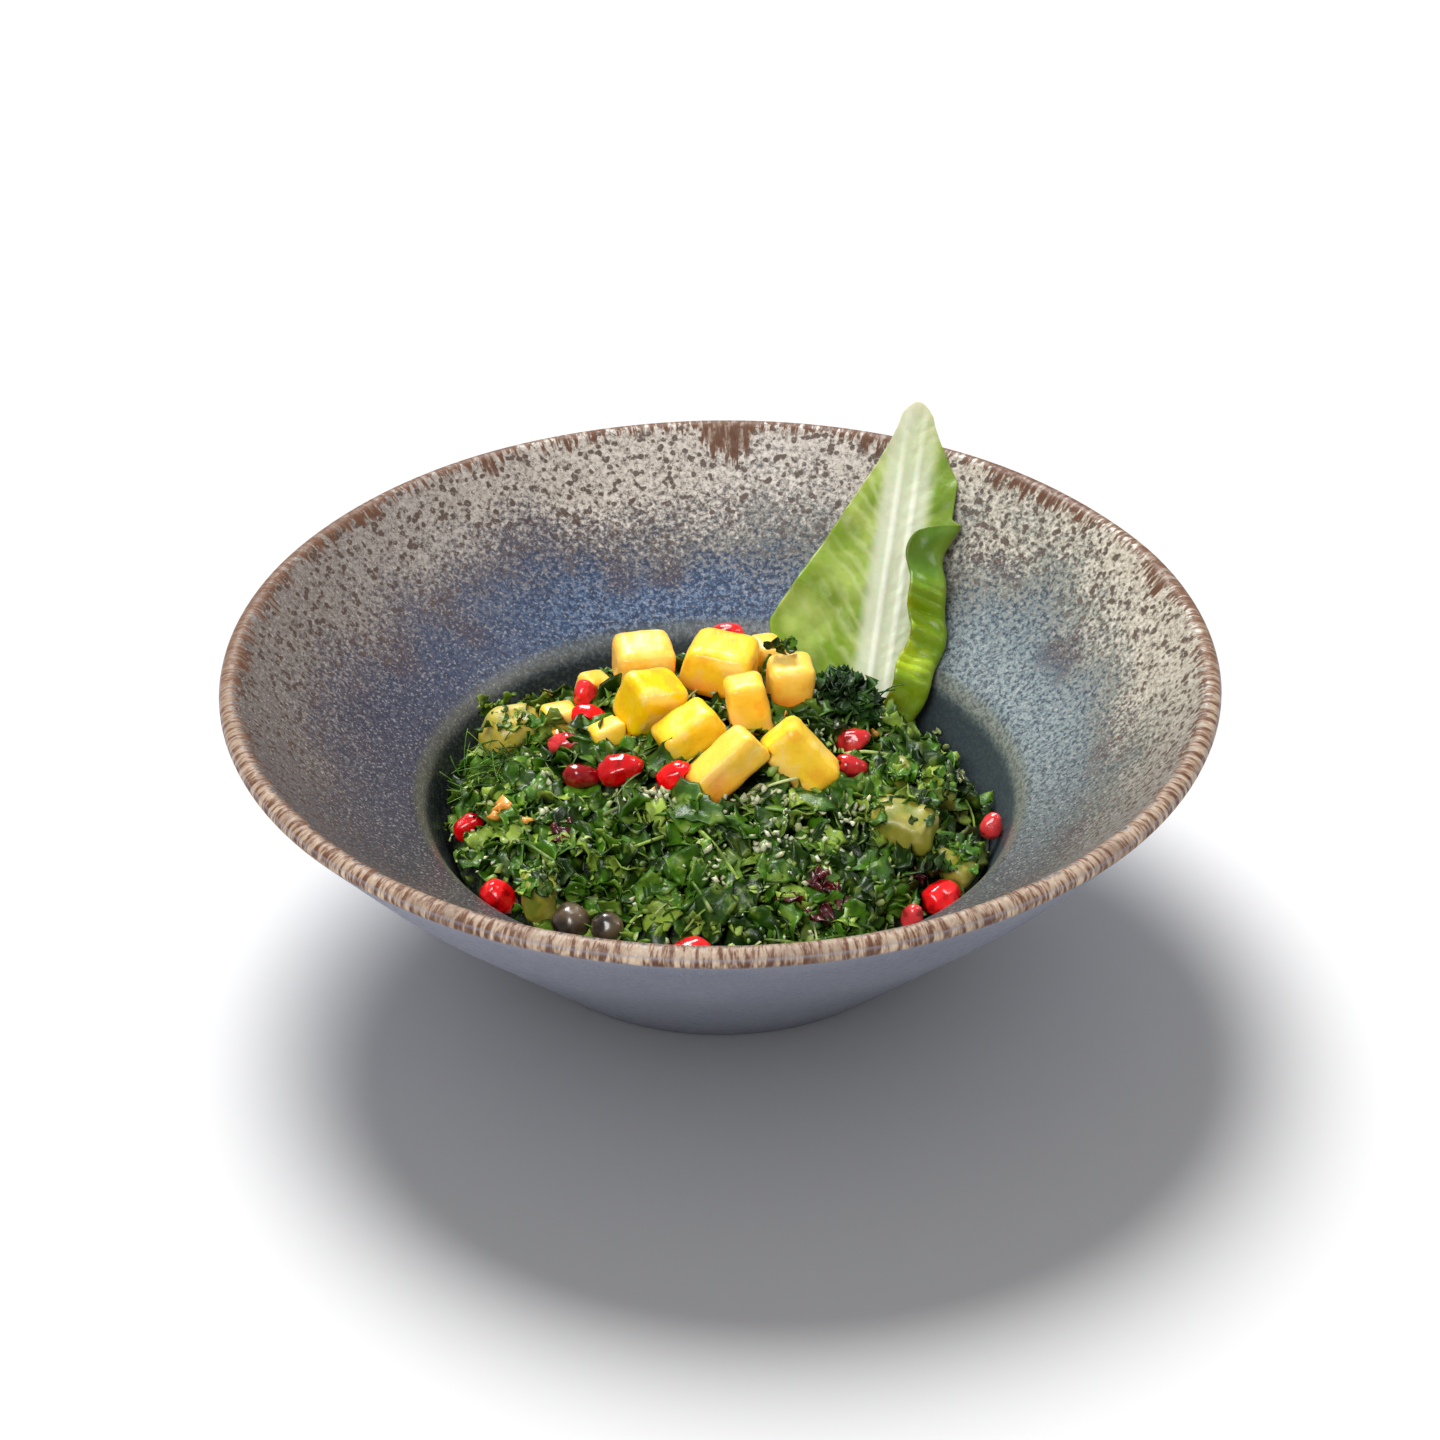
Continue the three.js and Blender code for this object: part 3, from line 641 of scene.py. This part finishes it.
def stemTemplate():
    work = bmesh.new()
    thick, thin = stem["radii"]
    bmesh.ops.create_cone(work, cap_ends=True, segments=6, radius1=thick, radius2=thin, depth=2)
    bmesh.ops.rotate(work, verts=work.verts, matrix=Matrix.Rotation(math.pi / 2, 3, "Y"))
    along = [edge for edge in work.edges if edge.calc_length() > 1]
    bmesh.ops.subdivide_edges(work, edges=along, cuts=4)
    for vert in work.verts:
        vert.co.z -= stem["droop"] * vert.co.x ** 2
    bmesh.ops.triangulate(work, faces=work.faces)
    return work


def grainFinish():
    sheet = Sheet("soaked_grain", Roughness=0.3, Subsurface_Weight=0.3, Subsurface_Scale=0.001)
    shade = sheet.mix(sheet.attribute("tint"), *grain["paints"])
    sheet.feed(Base_Color=shade)
    sheet.bump(sheet.noise(sheet.place(), 1200, 2), 0.2 * mm, 0.5)
    return sheet


grains = strewn(**grain["strewn"]) + strewn(**grain["heap"])
for x, y in grain["clumpsAt"]:
    grains += strewn(**grain["clump"], patch=(x, y, grain["clumpRadius"]))
addCopies("grains", grainTemplate(), grains, grainFinish())
addCopies("herb_stems", stemTemplate(), strewn(**stem["strewn"]), paleHerbs)
addCopies("wispy_fronds", stemTemplate(), strewn(**stem["fronds"]), herbs)
print("grains and stems strewn")

# mango
mango = {
    # orange shade: how much painted shade, in orange, the low part of a piece gets; sun: how bright yellow
    # its upper part is
    "orangeShadeAndSun": {
        1: (0.7, 0.75), 2: (0.4, 0.15), 3: (0.2, 1.0), 4: (0.5, 0.3), 5: (1.0, 0.25), 6: (0.3, 0.55),
        7: (0.2, 0.8), 8: (0.25, 0.6), 9: (0.75, 0.4), 10: (0.3, 0.7), 11: (0.2, 0.4), 12: (0.2, 0.5),
        13: (0.6, 0.3),
    },
    "flesh": ("#ffc95a", "#ffd000"),
    "light": "#ffe28c",
    "dark": "#f3a32a",
    # painted shade on the low part of each piece
    "orange": "#ff8208",
    "cut": {"voxel": 0.55, "easing": 1, "wave": 0.3, "waveLength": 4.5, "swell": 0.15},
}


def mangoFinish():
    sheet = Sheet("ripe_mango", Specular_IOR_Level=0.35, Subsurface_Weight=0.2, Subsurface_Scale=0.002,
                  Coat_Weight=0.15, Coat_Roughness=0.15)
    place = sheet.place()
    flesh = sheet.mix(sheet.attribute("sun"), *mango["flesh"])
    cloudy = sheet.noise(place, 150, 3)
    flesh = sheet.mix(sheet.step(cloudy, 0.5, 0.7) * 0.55, flesh, mango["light"])
    flesh = sheet.mix(sheet.step(cloudy, 0.47, 0.33) * 0.5, flesh, mango["dark"])
    orangeShadeBelow = sheet.attribute("orangeShadeBelow") + (cloudy - 0.5) * 0.9
    # painted shade: orange on the low part of each piece, broken up by clouds
    flesh = sheet.mix(sheet.step(orangeShadeBelow, 0.1, 0.8), flesh, mango["orange"])
    threads = sheet.noise(sheet.vector("MULTIPLY", place, (1, 0.25, 1)), 900, 2)
    sheet.feed(Base_Color=flesh, Roughness=0.28 + cloudy * 0.2)
    sheet.bump(threads * 0.4 + cloudy * 0.6, 0.5 * mm, 0.6)
    return sheet


mangoFlesh = mangoFinish()
for number, (orangeShading, sunny) in mango["orangeShadeAndSun"].items():
    node = f"mango_die_{number}"
    piece = softCopy(node, mango["cut"])
    low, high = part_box(node)
    orangeShadeBelow, sun = piece.verts.layers.float.new("orangeShadeBelow"), piece.verts.layers.float.new("sun")
    for vert in piece.verts:
        rise = (vert.co.z - low.z) / (high.z - low.z)
        # painted shade, strongest at the bottom of the piece
        vert[orangeShadeBelow] = orangeShading * max(0, 1 - rise * 1.25)
        vert[sun] = sunny
    addPiece(f"mango_{number}", meshFrom(piece, node), mangoFlesh, "mango", node)
print("mango made")

# avocado
avocado = {
    "greenness": {1: 0.1, 2: 0.5, 3: 0.6, 4: 0.6, 5: 0.8, 6: 0.8},
    "flesh": ("#bda93a", "#66731f"),
    "light": "#c9bf74",
    "dark": "#536d1c",
    "cut": {"voxel": 0.6, "easing": 3, "wave": 0.8, "waveLength": 5.5, "swell": -0.1},
    "herbs": 34,  # that stick to each chunk
    "herbDepth": (0.2, 2.5),
    "herbSize": (1.4, 3.8),
    "herbTilt": 30,
    "rounding": 0.25,  # of a chunk's top, under its herbs
}


def avocadoFinish():
    sheet = Sheet("soft_avocado", Subsurface_Weight=0.15, Subsurface_Scale=0.002, Coat_Weight=0.15)
    place = sheet.place()
    cloudy = sheet.noise(place, 180, 3)
    flesh = sheet.mix(sheet.attribute("green"), *avocado["flesh"])
    flesh = sheet.mix(sheet.step(cloudy, 0.5, 0.75) * 0.6, flesh, avocado["light"])
    flesh = sheet.mix(sheet.step(cloudy, 0.5, 0.34) * 0.6, flesh, avocado["dark"])
    sheet.feed(Base_Color=flesh, Roughness=0.38 + cloudy * 0.2)
    sheet.bump(cloudy, 0.8 * mm, 0.6)
    return sheet


avocadoFlesh = avocadoFinish()
avocadoTops = []
for number, greenness in avocado["greenness"].items():
    node = f"avocado_chunk_{number}"
    piece = softCopy(node, avocado["cut"])
    green = piece.verts.layers.float.new("green")
    for vert in piece.verts:
        vert[green] = greenness
    addPiece(f"avocado_{number}", meshFrom(piece, node), avocadoFlesh, "avocado", node)
    middle, half, top = boxOf(node)
    for _ in range(avocado["herbs"]):
        x, y = middle.x + chance.uniform(-1, 1) * half.x, middle.y + chance.uniform(-0.9, 1) * half.y
        height = top - chance.uniform(*avocado["herbDepth"])
        height = height - avocado["rounding"] * half.z * (abs(x - middle.x) / half.x) ** 2
        size = chance.uniform(*avocado["herbSize"])
        avocadoTops.append((resting(x, y, height, size, avocado["herbTilt"]), chance.random()))
addCopies("avocado_herbs", leaflet(curlyLeaf), avocadoTops, herbs)
print("avocado made")

# pomegranate seeds and grapes
seeds = {
    # dark: from bright red to maroon; pink: how milky; tail: how pale the pointed end is
    "darkPinkAndTail": {
        1: (0.1, 0.35, 0.2), 2: (0.0, 0.0, 0.1), 3: (0.2, 0.6, 0.8), 4: (0.8, 0.0, 0.1),
        5: (0.5, 0.0, 0.4), 6: (0.0, 0.0, 0.4), 7: (0.35, 0.0, 0.1), 8: (0.15, 0.05, 1.0),
        9: (0.3, 0.2, 0.2), 10: (0.5, 0.3, 0.3), 11: (0.5, 0.3, 0.3), 12: (0.2, 0.7, 0.3),
        13: (0.0, 0.15, 0.3), 14: (0.0, 0.8, 0.3), 15: (0.1, 0.3, 0.2),
    },
    "flesh": ("#fd070e", "#4a0208"),
    "milky": "#cf4e50",
    "light": "#f0605c",
    "shade": "#5c0207",
    "pale": "#efc3b4",
    "cut": {"voxel": 0.42, "easing": 3, "wave": 0.55, "waveLength": 3.6, "swell": 0.2},
}
grapes = {"skin": ("#241a12", "#5f4e38"), "cut": seeds["cut"]}


def seedFinish():
    sheet = Sheet("pomegranate_flesh", Specular_IOR_Level=0.5, Subsurface_Weight=0.2, Subsurface_Scale=0.0015,
                  Coat_Weight=0.25, Coat_Roughness=0.05)
    place = sheet.place()
    flesh = sheet.mix(sheet.attribute("dark"), *seeds["flesh"])
    flesh = sheet.mix(sheet.attribute("pink") * 0.8, flesh, seeds["milky"])
    veil = sheet.noise(place, 330, 2)
    flesh = sheet.mix(sheet.step(veil, 0.56, 0.8) * 0.2, flesh, seeds["light"])
    flesh = sheet.mix(sheet.step(veil, 0.48, 0.3) * 0.6, flesh, seeds["shade"])
    flesh = sheet.mix(sheet.step(sheet.attribute("tail"), 0.4, 1.0), flesh, seeds["pale"])
    sheet.feed(Base_Color=flesh, Roughness=0.12 + veil * 0.12)
    sheet.bump(veil, 0.6 * mm, 0.5)
    return sheet


pomegranate = seedFinish()
for number, (darkness, pinkness, paleTail) in seeds["darkPinkAndTail"].items():
    node = f"pomegranate_seed_{number}"
    piece = softCopy(node, seeds["cut"])
    middle = sum((vert.co for vert in piece.verts), Vector()) / len(piece.verts)
    pointed = max(piece.verts, key=lambda vert: (vert.co - middle).length).co - middle
    layers = {name: piece.verts.layers.float.new(name) for name in ("dark", "pink", "tail")}
    for vert in piece.verts:
        vert[layers["dark"]] = darkness
        vert[layers["pink"]] = pinkness
        vert[layers["tail"]] = paleTail * max(0, (vert.co - middle).dot(pointed) / pointed.length_squared)
    addPiece(f"seed_{number}", meshFrom(piece, node), pomegranate, "pomegranate", node)


def grapeFinish():
    sheet = Sheet("dark_grape", Specular_IOR_Level=0.6, Subsurface_Weight=0.3, Coat_Weight=0.4,
                  Subsurface_Scale=0.002, Coat_Roughness=0.08)
    bloom = sheet.noise(sheet.place(), 150, 3)
    skin = sheet.mix(sheet.step(bloom, 0.35, 0.7), *grapes["skin"])
    sheet.feed(Base_Color=skin, Roughness=0.22 + bloom * 0.2)
    sheet.bump(bloom, 0.4 * mm, 0.5)
    return sheet


grapeSkin = grapeFinish()
for number in (1, 2):
    node = f"grape_{number}"
    piece = softCopy(node, grapes["cut"])
    addPiece(f"dark_grape_{number}", meshFrom(piece, node), grapeSkin, "grape_skin", node)
print("seeds and grapes made")

# odd bits among the herbs
def oddFinish(name, dark, light):
    sheet = Sheet(name, Subsurface_Weight=0.15, Subsurface_Scale=0.001, Coat_Weight=0.3)
    cloudy = sheet.noise(sheet.place(), 400, 2)
    sheet.feed(Base_Color=sheet.mix(cloudy, dark, light), Roughness=0.25 + cloudy * 0.2)
    sheet.bump(cloudy, 0.4 * mm, 0.6)
    return sheet


shreds = strewn(9, size=(2.5, 5), lift=(2.5, 4), tilt=25, stretch=(1, 0.5, 1), patch=(23, -50, 7))
shreds += strewn(3, size=(2.5, 4), lift=(2.5, 4), tilt=25, stretch=(1, 0.8, 2), patch=(-38, -29, 2.5))
shreds += strewn(4, size=(2, 3), lift=(2.5, 4), tilt=25, stretch=(1, 0.8, 2), patch=(51, -36, 2.5))
redLeaf = oddFinish("dark_red_leaf", "#2c060b", "#5e141b")
addCopies("dark_red_shreds", leaflet(curlyLeaf), shreds, redLeaf)
crumbs = strewn(3, size=(1.8, 2.8), lift=(3, 4.5), tilt=25, stretch=(1, 0.7, 6), patch=(-56, -15, 2))
crumbs += strewn(14, size=(1.0, 2.0), lift=(3, 4.5), tilt=25, stretch=(1, 0.7, 5), patch=(0, 0, 66))
orangeFlesh = oddFinish("orange_flesh", "#e0801c", "#eeb65a")
addCopies("fruit_crumbs", leaflet(snipLeaf), crumbs, orangeFlesh, "mango")


def spanning(first, second):  # lays a stem from one point to another, in mm
    half = (Vector(second) - Vector(first)) / 2
    turn = half.to_track_quat("X", "Z").to_matrix().to_4x4()
    return Matrix.Translation((Vector(first) + half) * mm) @ turn @ Matrix.Scale(half.length * mm, 4)


broadLeaf = {**flatLeaf, "corners": 24, "rings": 6, "lobes": 0.32, "width": 0.62}
broadHerb = {"at": (-8, -29), "lift": 4, "turn": (24, -8, -38), "size": 11, "tint": 0.35}
broadStem = {"from": (-7, -33), "fromLift": 4.5, "to": (6, -51), "toLift": 3.5, "tint": 0.6}
crest = {"count": 8, "at": (18, 22), "spread": (1.6, 1.2), "height": 65.6, "size": (1.6, 3), "tilt": 35}


def onMound(spot, lift):  # mm
    return *spot, moundHeight(*spot) + lift


broadTurn = Euler([math.radians(angle) for angle in broadHerb["turn"]]).to_matrix().to_4x4()
broadPlace = Matrix.Translation(Vector(onMound(broadHerb["at"], broadHerb["lift"])) * mm) @ broadTurn
broadCopy = (broadPlace @ Matrix.Scale(broadHerb["size"] * mm, 4), broadHerb["tint"])
addCopies("broad_herb_leaf", leaflet(broadLeaf), [broadCopy], herbs)
stemEnds = onMound(broadStem["from"], broadStem["fromLift"]), onMound(broadStem["to"], broadStem["toLift"])
addCopies("broad_herb_stem", stemTemplate(), [(spanning(*stemEnds), broadStem["tint"])], paleHerbs)
crestCopies = []
for _ in range(crest["count"]):
    x, y = [middle + chance.gauss(0, spread) for middle, spread in zip(crest["at"], crest["spread"])]
    height, size = crest["height"] + chance.random(), chance.uniform(*crest["size"])
    crestCopies.append((resting(x, y, height, size, crest["tilt"]), chance.random()))
addCopies("mango_herbs", leaflet(curlyLeaf), crestCopies, herbs)
print("odd bits made")

# sprig of curly parsley
sprig = {
    "leaves": 90,
    "size": (3.0, 5.2),
    "outward": (0.45, 0.95),  # from the middle of the sprig
    "lean": 0.5,
    "twigs": [((34, 23, 47), (45, 26, 51), 0.4), ((41, 24.5, 49.5), (47, 23, 54), 0.7)],  # ends and tint
}
frilledLeaf = {**curlyLeaf, "ruffle": 0.5, "ruffles": 5}


def sprigCopies():
    middle, half, _ = boxOf("parsley_sprig")
    copies = []
    for _ in range(sprig["leaves"]):
        out = Vector([chance.gauss(0, 1) for _ in range(3)]).normalized()
        spot = middle + Vector([a * b for a, b in zip(out, half)]) * chance.uniform(*sprig["outward"])
        turn = out.to_track_quat("Z", "Y").to_matrix().to_4x4()
        lean = Euler([chance.gauss(0, sprig["lean"]) for _ in range(3)]).to_matrix().to_4x4()
        size = chance.uniform(*sprig["size"]) * mm
        copies.append((Matrix.Translation(spot * mm) @ turn @ lean @ Matrix.Scale(size, 4), chance.random()))
    return copies


sprigGreen = herbFinish("curly_parsley_green", "#122f0c", "#2b541b", "#557d38", 0.25)
addCopies("curly_sprig", leaflet(frilledLeaf), sprigCopies(), sprigGreen, "curly_parsley", "parsley_sprig")
twigs = [(spanning(first, second), tint) for first, second, tint in sprig["twigs"]]
addCopies("sprig_twig", stemTemplate(), twigs, sprigGreen, "curly_parsley")
print("sprig made")

# lettuce leaf
lettuce = {
    "base": Vector((38, 30, 22)),  # mm, as is each length below
    "tip": Vector((55, 115, 86)),
    "columns": 72,
    "rows": 200,
    "tipCrowding": 1.4,  # of the rows
    "tipRadius": 4.2,
    "tipLength": 40,
    "leftSpread": 0.44,
    "rightSpread": 0.6,
    "rightLimit": 13.5,
    "widest": 70,  # below the tip
    "leftAtBase": 8,
    "rightAtBase": 6,
    "waist": (48, 9, 0.24),  # below the tip, its length and depth
    "fold": (33, 97),  # the right margin is turned over between these
    "foldEase": 8,
    "foldRadius": 1.8,
    "flapWidth": 7.5,
    "flapRise": 0.2,
    "thickness": 0.8,
    "ribThickness": 2.6,
    "ribHalfWidth": 4.5,
    "ribTaper": 0.7,
    "ribRidge": (2.3, 1.1, 0.32),  # from the rib's middle, its half width and height
    "hollow": 0.0045,
    # height and length of the waves along the leaf
    "wave": (0.8, 4),
    "ruffle": (1.1, 2.1),  # of the turned margin
    "crinkle": (0.45, 0.62),  # of its lower part, finer
    "sway": (0.8, 2.7),  # of its edge
    "vein": (0.16, 1.9),
    "veinSlant": 1.15,
    "blister": 0.7,
    "crinkleStart": (50, 60),  # below the tip
    "paints": {
        "blade": ("#738d22", "#a2b557"),
        "veins": "#c4cf92",
        "bladeShade": "#76991f",
        # painted shade: the strip of the blade beside the turned margin
        "shadeBesideFlap": "#638214",
        "flap": ("#6c8a03", "#9db40c"),
        "flapTop": "#466f10",
        "rib": ("#c6cbae", "#dfe2cf"),
        "tip": "#ccd0ba",
    },
}


def eased(value, low, high):
    share = min(1, max(0, (value - low) / (high - low)))
    return share * share * (3 - 2 * share)


def leafReach(below, length):
    taper = max(0, 1 - below / lettuce["tipLength"])
    round_ = lettuce["tipRadius"] * math.sqrt(min(1, below / lettuce["tipRadius"])) * taper
    towardsBase = eased(below, lettuce["widest"], length)
    place, spread, depth = lettuce["waist"]
    waist = 1 - depth * math.exp(-((below - place) / spread) ** 2)
    left = math.hypot(round_, lettuce["leftSpread"] * min(below, lettuce["widest"]))
    right = waist * min(math.hypot(round_, lettuce["rightSpread"] * below), lettuce["rightLimit"])
    start, end = lettuce["fold"]
    ease = lettuce["foldEase"]
    fold = eased(below, start, start + ease) * (1 - eased(below, end - ease, end))
    return (left + (lettuce["leftAtBase"] - left) * towardsBase,
            right + (lettuce["rightAtBase"] - right) * towardsBase, fold)


def leafSection(distance, right):  # across the leaf, and out of its hollow face
    hollow, bend = lettuce["hollow"], lettuce["foldRadius"]
    if distance < right:
        return distance, hollow * distance * distance
    turn = min(math.pi, (distance - right) / bend)
    back = max(0, distance - right - bend * math.pi)
    height = hollow * right * right + bend * (1 - math.cos(turn)) + lettuce["flapRise"] * back
    return right + bend * math.sin(turn) - back, height


def leafRelief(distance, below, over):  # mm out of the leaf's smooth face
    away = min(1, max(0, (abs(distance) - 4) / 4))
    height, length = lettuce["wave"]
    relief = height * math.sin(below / length) * min(1, abs(distance) / 20)
    height, length = lettuce["ruffle"]
    relief += height * min(1, over) * math.sin(below / length + 0.6 * math.sin(below / 5))
    height, length = lettuce["crinkle"]
    crinkle = eased(below, *lettuce["crinkleStart"]) * min(1, over * 1.5)
    relief += height * crinkle * math.sin(below / length + 1.5 * math.sin(below / 3.1) + 3 * over)
    height, length = lettuce["vein"]
    bend = 2 * noise.noise(Vector((distance / 6, below / 6, 0)))
    relief += height * away * math.sin((below + lettuce["veinSlant"] * abs(distance)) / length + bend)
    relief += lettuce["blister"] * away * noise.noise(Vector((distance / 5, below / 7, 2)))
    place, halfWidth, height = lettuce["ribRidge"]
    return relief + height * math.exp(-((abs(distance) - place) / halfWidth) ** 2) * min(1, below / 20)


def leafMesh():
    base, tip = lettuce["base"], lettuce["tip"]
    length = (tip - base).length
    along = (tip - base) / length
    across = (Vector((1, 0, 0)) - along * along.x).normalized()
    out = across.cross(along)
    work = bmesh.new()
    bmesh.ops.create_grid(work, x_segments=lettuce["columns"], y_segments=lettuce["rows"], size=1)
    fromRib = work.verts.layers.float.new("fromRib")
    belowTip = work.verts.layers.float.new("belowTip")
    turned = work.verts.layers.float.new("turned")
    sway, swayLength = lettuce["sway"]
    for vert in work.verts:
        share, rise = vert.co.x / 2 + 0.5, vert.co.y / 2 + 0.5
        below = length * (1 - rise) ** lettuce["tipCrowding"]
        left, right, fold = leafReach(below, length)
        foldLength = fold * (lettuce["foldRadius"] * math.pi + lettuce["flapWidth"])
        distance = -left + (left + right + foldLength) * share
        over = max(0, distance - right) / 8
        x, height = leafSection(distance, right)
        x += sway * min(1, over * 2) * math.sin(below / swayLength + 1)
        height += leafRelief(distance, below, over)
        vert[fromRib], vert[belowTip], vert[turned] = distance, below, min(1, over)
        vert.co = (tip - along * below + across * x + out * height) * mm
    bmesh.ops.remove_doubles(work, verts=work.verts, dist=0.02 * mm)
    bmesh.ops.recalc_face_normals(work, faces=work.faces)
    facing = sum((face.normal * face.calc_area() for face in work.faces), Vector())
    if facing.dot(out) < 0:
        bmesh.ops.reverse_faces(work, faces=work.faces)
    front = set(work.verts)
    bmesh.ops.solidify(work, geom=work.faces[:], thickness=lettuce["thickness"] * mm)
    for vert in work.verts:
        if vert not in front:
            rise = 1 - vert[belowTip] / length
            rib = (1 - lettuce["ribTaper"] * rise) * math.exp(-(vert[fromRib] / lettuce["ribHalfWidth"]) ** 2)
            vert.co -= out * lettuce["ribThickness"] * rib * mm * min(1, vert[belowTip] / 10)
    bmesh.ops.recalc_face_normals(work, faces=work.faces)
    return meshFrom(work, "romaine_leaf")


def lettuceFinish():
    sheet = Sheet("crisp_lettuce", Specular_IOR_Level=0.32, Subsurface_Weight=0.35, Subsurface_Scale=0.004)
    paints = lettuce["paints"]
    place = sheet.place()
    distance, below, turned = [sheet.attribute(name) for name in ("fromRib", "belowTip", "turned")]
    away = abs(distance)
    cloudy = sheet.noise(place, 90, 3)
    blade = sheet.mix(sheet.step(cloudy, 0.35, 0.7), *paints["blade"])
    phase = (below + away * lettuce["veinSlant"]) / 6.2 + (cloudy - 0.5) * 2.2
    vein = sheet.maths("PINGPONG", phase, 0.5)
    blade = sheet.mix(sheet.step(vein, 0.32, 0.04) * sheet.step(away, 24, 5) * 0.4, blade, paints["veins"])
    shade = sheet.step(cloudy, 0.46, 0.3) * sheet.step(away, 5, 9) * 0.6
    blade = sheet.mix(shade, blade, paints["bladeShade"])
    # painted shade on the blade's right side, beside the turned margin
    blade = sheet.mix(sheet.step(distance, 5, 10) * 0.8, blade, paints["shadeBesideFlap"])
    flap = sheet.mix(sheet.step(cloudy, 0.4, 0.65), *paints["flap"])
    flap = sheet.mix(sheet.step(below, 62, 50), flap, paints["flapTop"])
    blade = sheet.mix(turned * 0.9, blade, flap)
    rib = sheet.mix(sheet.step(abs(away - 2.3), 1.3, 0.2), *paints["rib"])
    ribShare = sheet.step(away, 8.4, 4.6) * (1 - turned) * (0.55 + sheet.step(below, 6, 34) * 0.45)
    blade = sheet.mix(ribShare, blade, rib)
    tipShare = sheet.step(below, 26, 4) * sheet.step(distance, 4, -3) * 0.6
    sheet.feed(Base_Color=sheet.mix(tipShare, blade, paints["tip"]), Roughness=0.3 + cloudy * 0.22)
    sheet.bump(vein * 0.5 + sheet.noise(place, 420, 2) * 0.5, 0.6 * mm, 0.7)
    return sheet


addPiece("romaine_leaf", leafMesh(), lettuceFinish(), "lettuce", "lettuce_leaf")
print("lettuce leaf made")

# floor, light and camera
studio = {
    "lens": 100,
    "camera": (-0.0001, -0.84815, 0.61272),
    "pitch": 56.8,
    "roll": -0.37,
    "ambient": 0.31,
    "keyEnergy": 3.5,
    "keyFrom": (-0.22, 0.8, 1.0),
    "keyAngle": 26,
    "fills": {  # place, size and power
        "front_fill": ((-0.35, -0.85, 0.95), 0.6, 12.0),
        "side_fill": ((0.8, 0.1, 0.7), 0.3, 2.0),
    },
}


def floorPiece():
    work = bmesh.new()
    bmesh.ops.create_grid(work, x_segments=1, y_segments=1, size=3)
    bmesh.ops.translate(work, verts=work.verts, vec=(0, 0, -0.05 * mm))
    floor = addObject("floor", meshFrom(work, "floor"))
    sheet = Sheet("pale_floor", Roughness=0.9, Specular_IOR_Level=0.1)
    sheet.feed(Base_Color=sheet.mix(sheet.noise(sheet.place(), 3), "#f2f2f2", "#f4f4f4"))
    floor.data.materials.append(sheet.material)
    return floor


def aimed(holder, place):  # turns a light towards the bowl
    holder.rotation_euler = (-Vector(place)).to_track_quat("-Z", "Y").to_euler()
    return holder


def softLight(name, place, size, power, unlit):
    light = bpy.data.lights.new(name, "AREA")
    light.shape = "DISK"
    light.size = size
    light.energy = power
    holder = aimed(addObject(name, light), place)
    holder.location = place
    holder.light_linking.receiver_collection = unlit


unfilled = bpy.data.collections.new("unfilled")  # the fills leave the floor's shadow alone
unfilled.objects.link(floorPiece())
unfilled.collection_objects[0].light_linking.link_state = "EXCLUDE"
world = bpy.data.worlds.new("studio")
world.use_nodes = True
world.node_tree.nodes["Background"].inputs["Strength"].default_value = studio["ambient"]
world.node_tree.nodes["Background"].inputs["Color"].default_value = (1, 1, 1, 1)
bpy.context.scene.world = world
key = bpy.data.lights.new("key", "SUN")
key.energy = studio["keyEnergy"]
key.angle = math.radians(studio["keyAngle"])
aimed(addObject("key", key), studio["keyFrom"])
for name, (place, size, power) in studio["fills"].items():
    softLight(name, place, size, power, unfilled)

view = bpy.data.cameras.new("camera")
view.lens = studio["lens"]
view.sensor_width = 36
camera = addObject("camera", view)
pitch, roll = math.radians(studio["pitch"]), math.radians(studio["roll"])
turn = Matrix.Rotation(pitch, 4, "X") @ Matrix.Rotation(roll, 4, "Z")
camera.matrix_world = Matrix.Translation(studio["camera"]) @ turn
bpy.context.scene.camera = camera
bpy.context.scene.view_settings.view_transform = "Standard"
print("stage set")
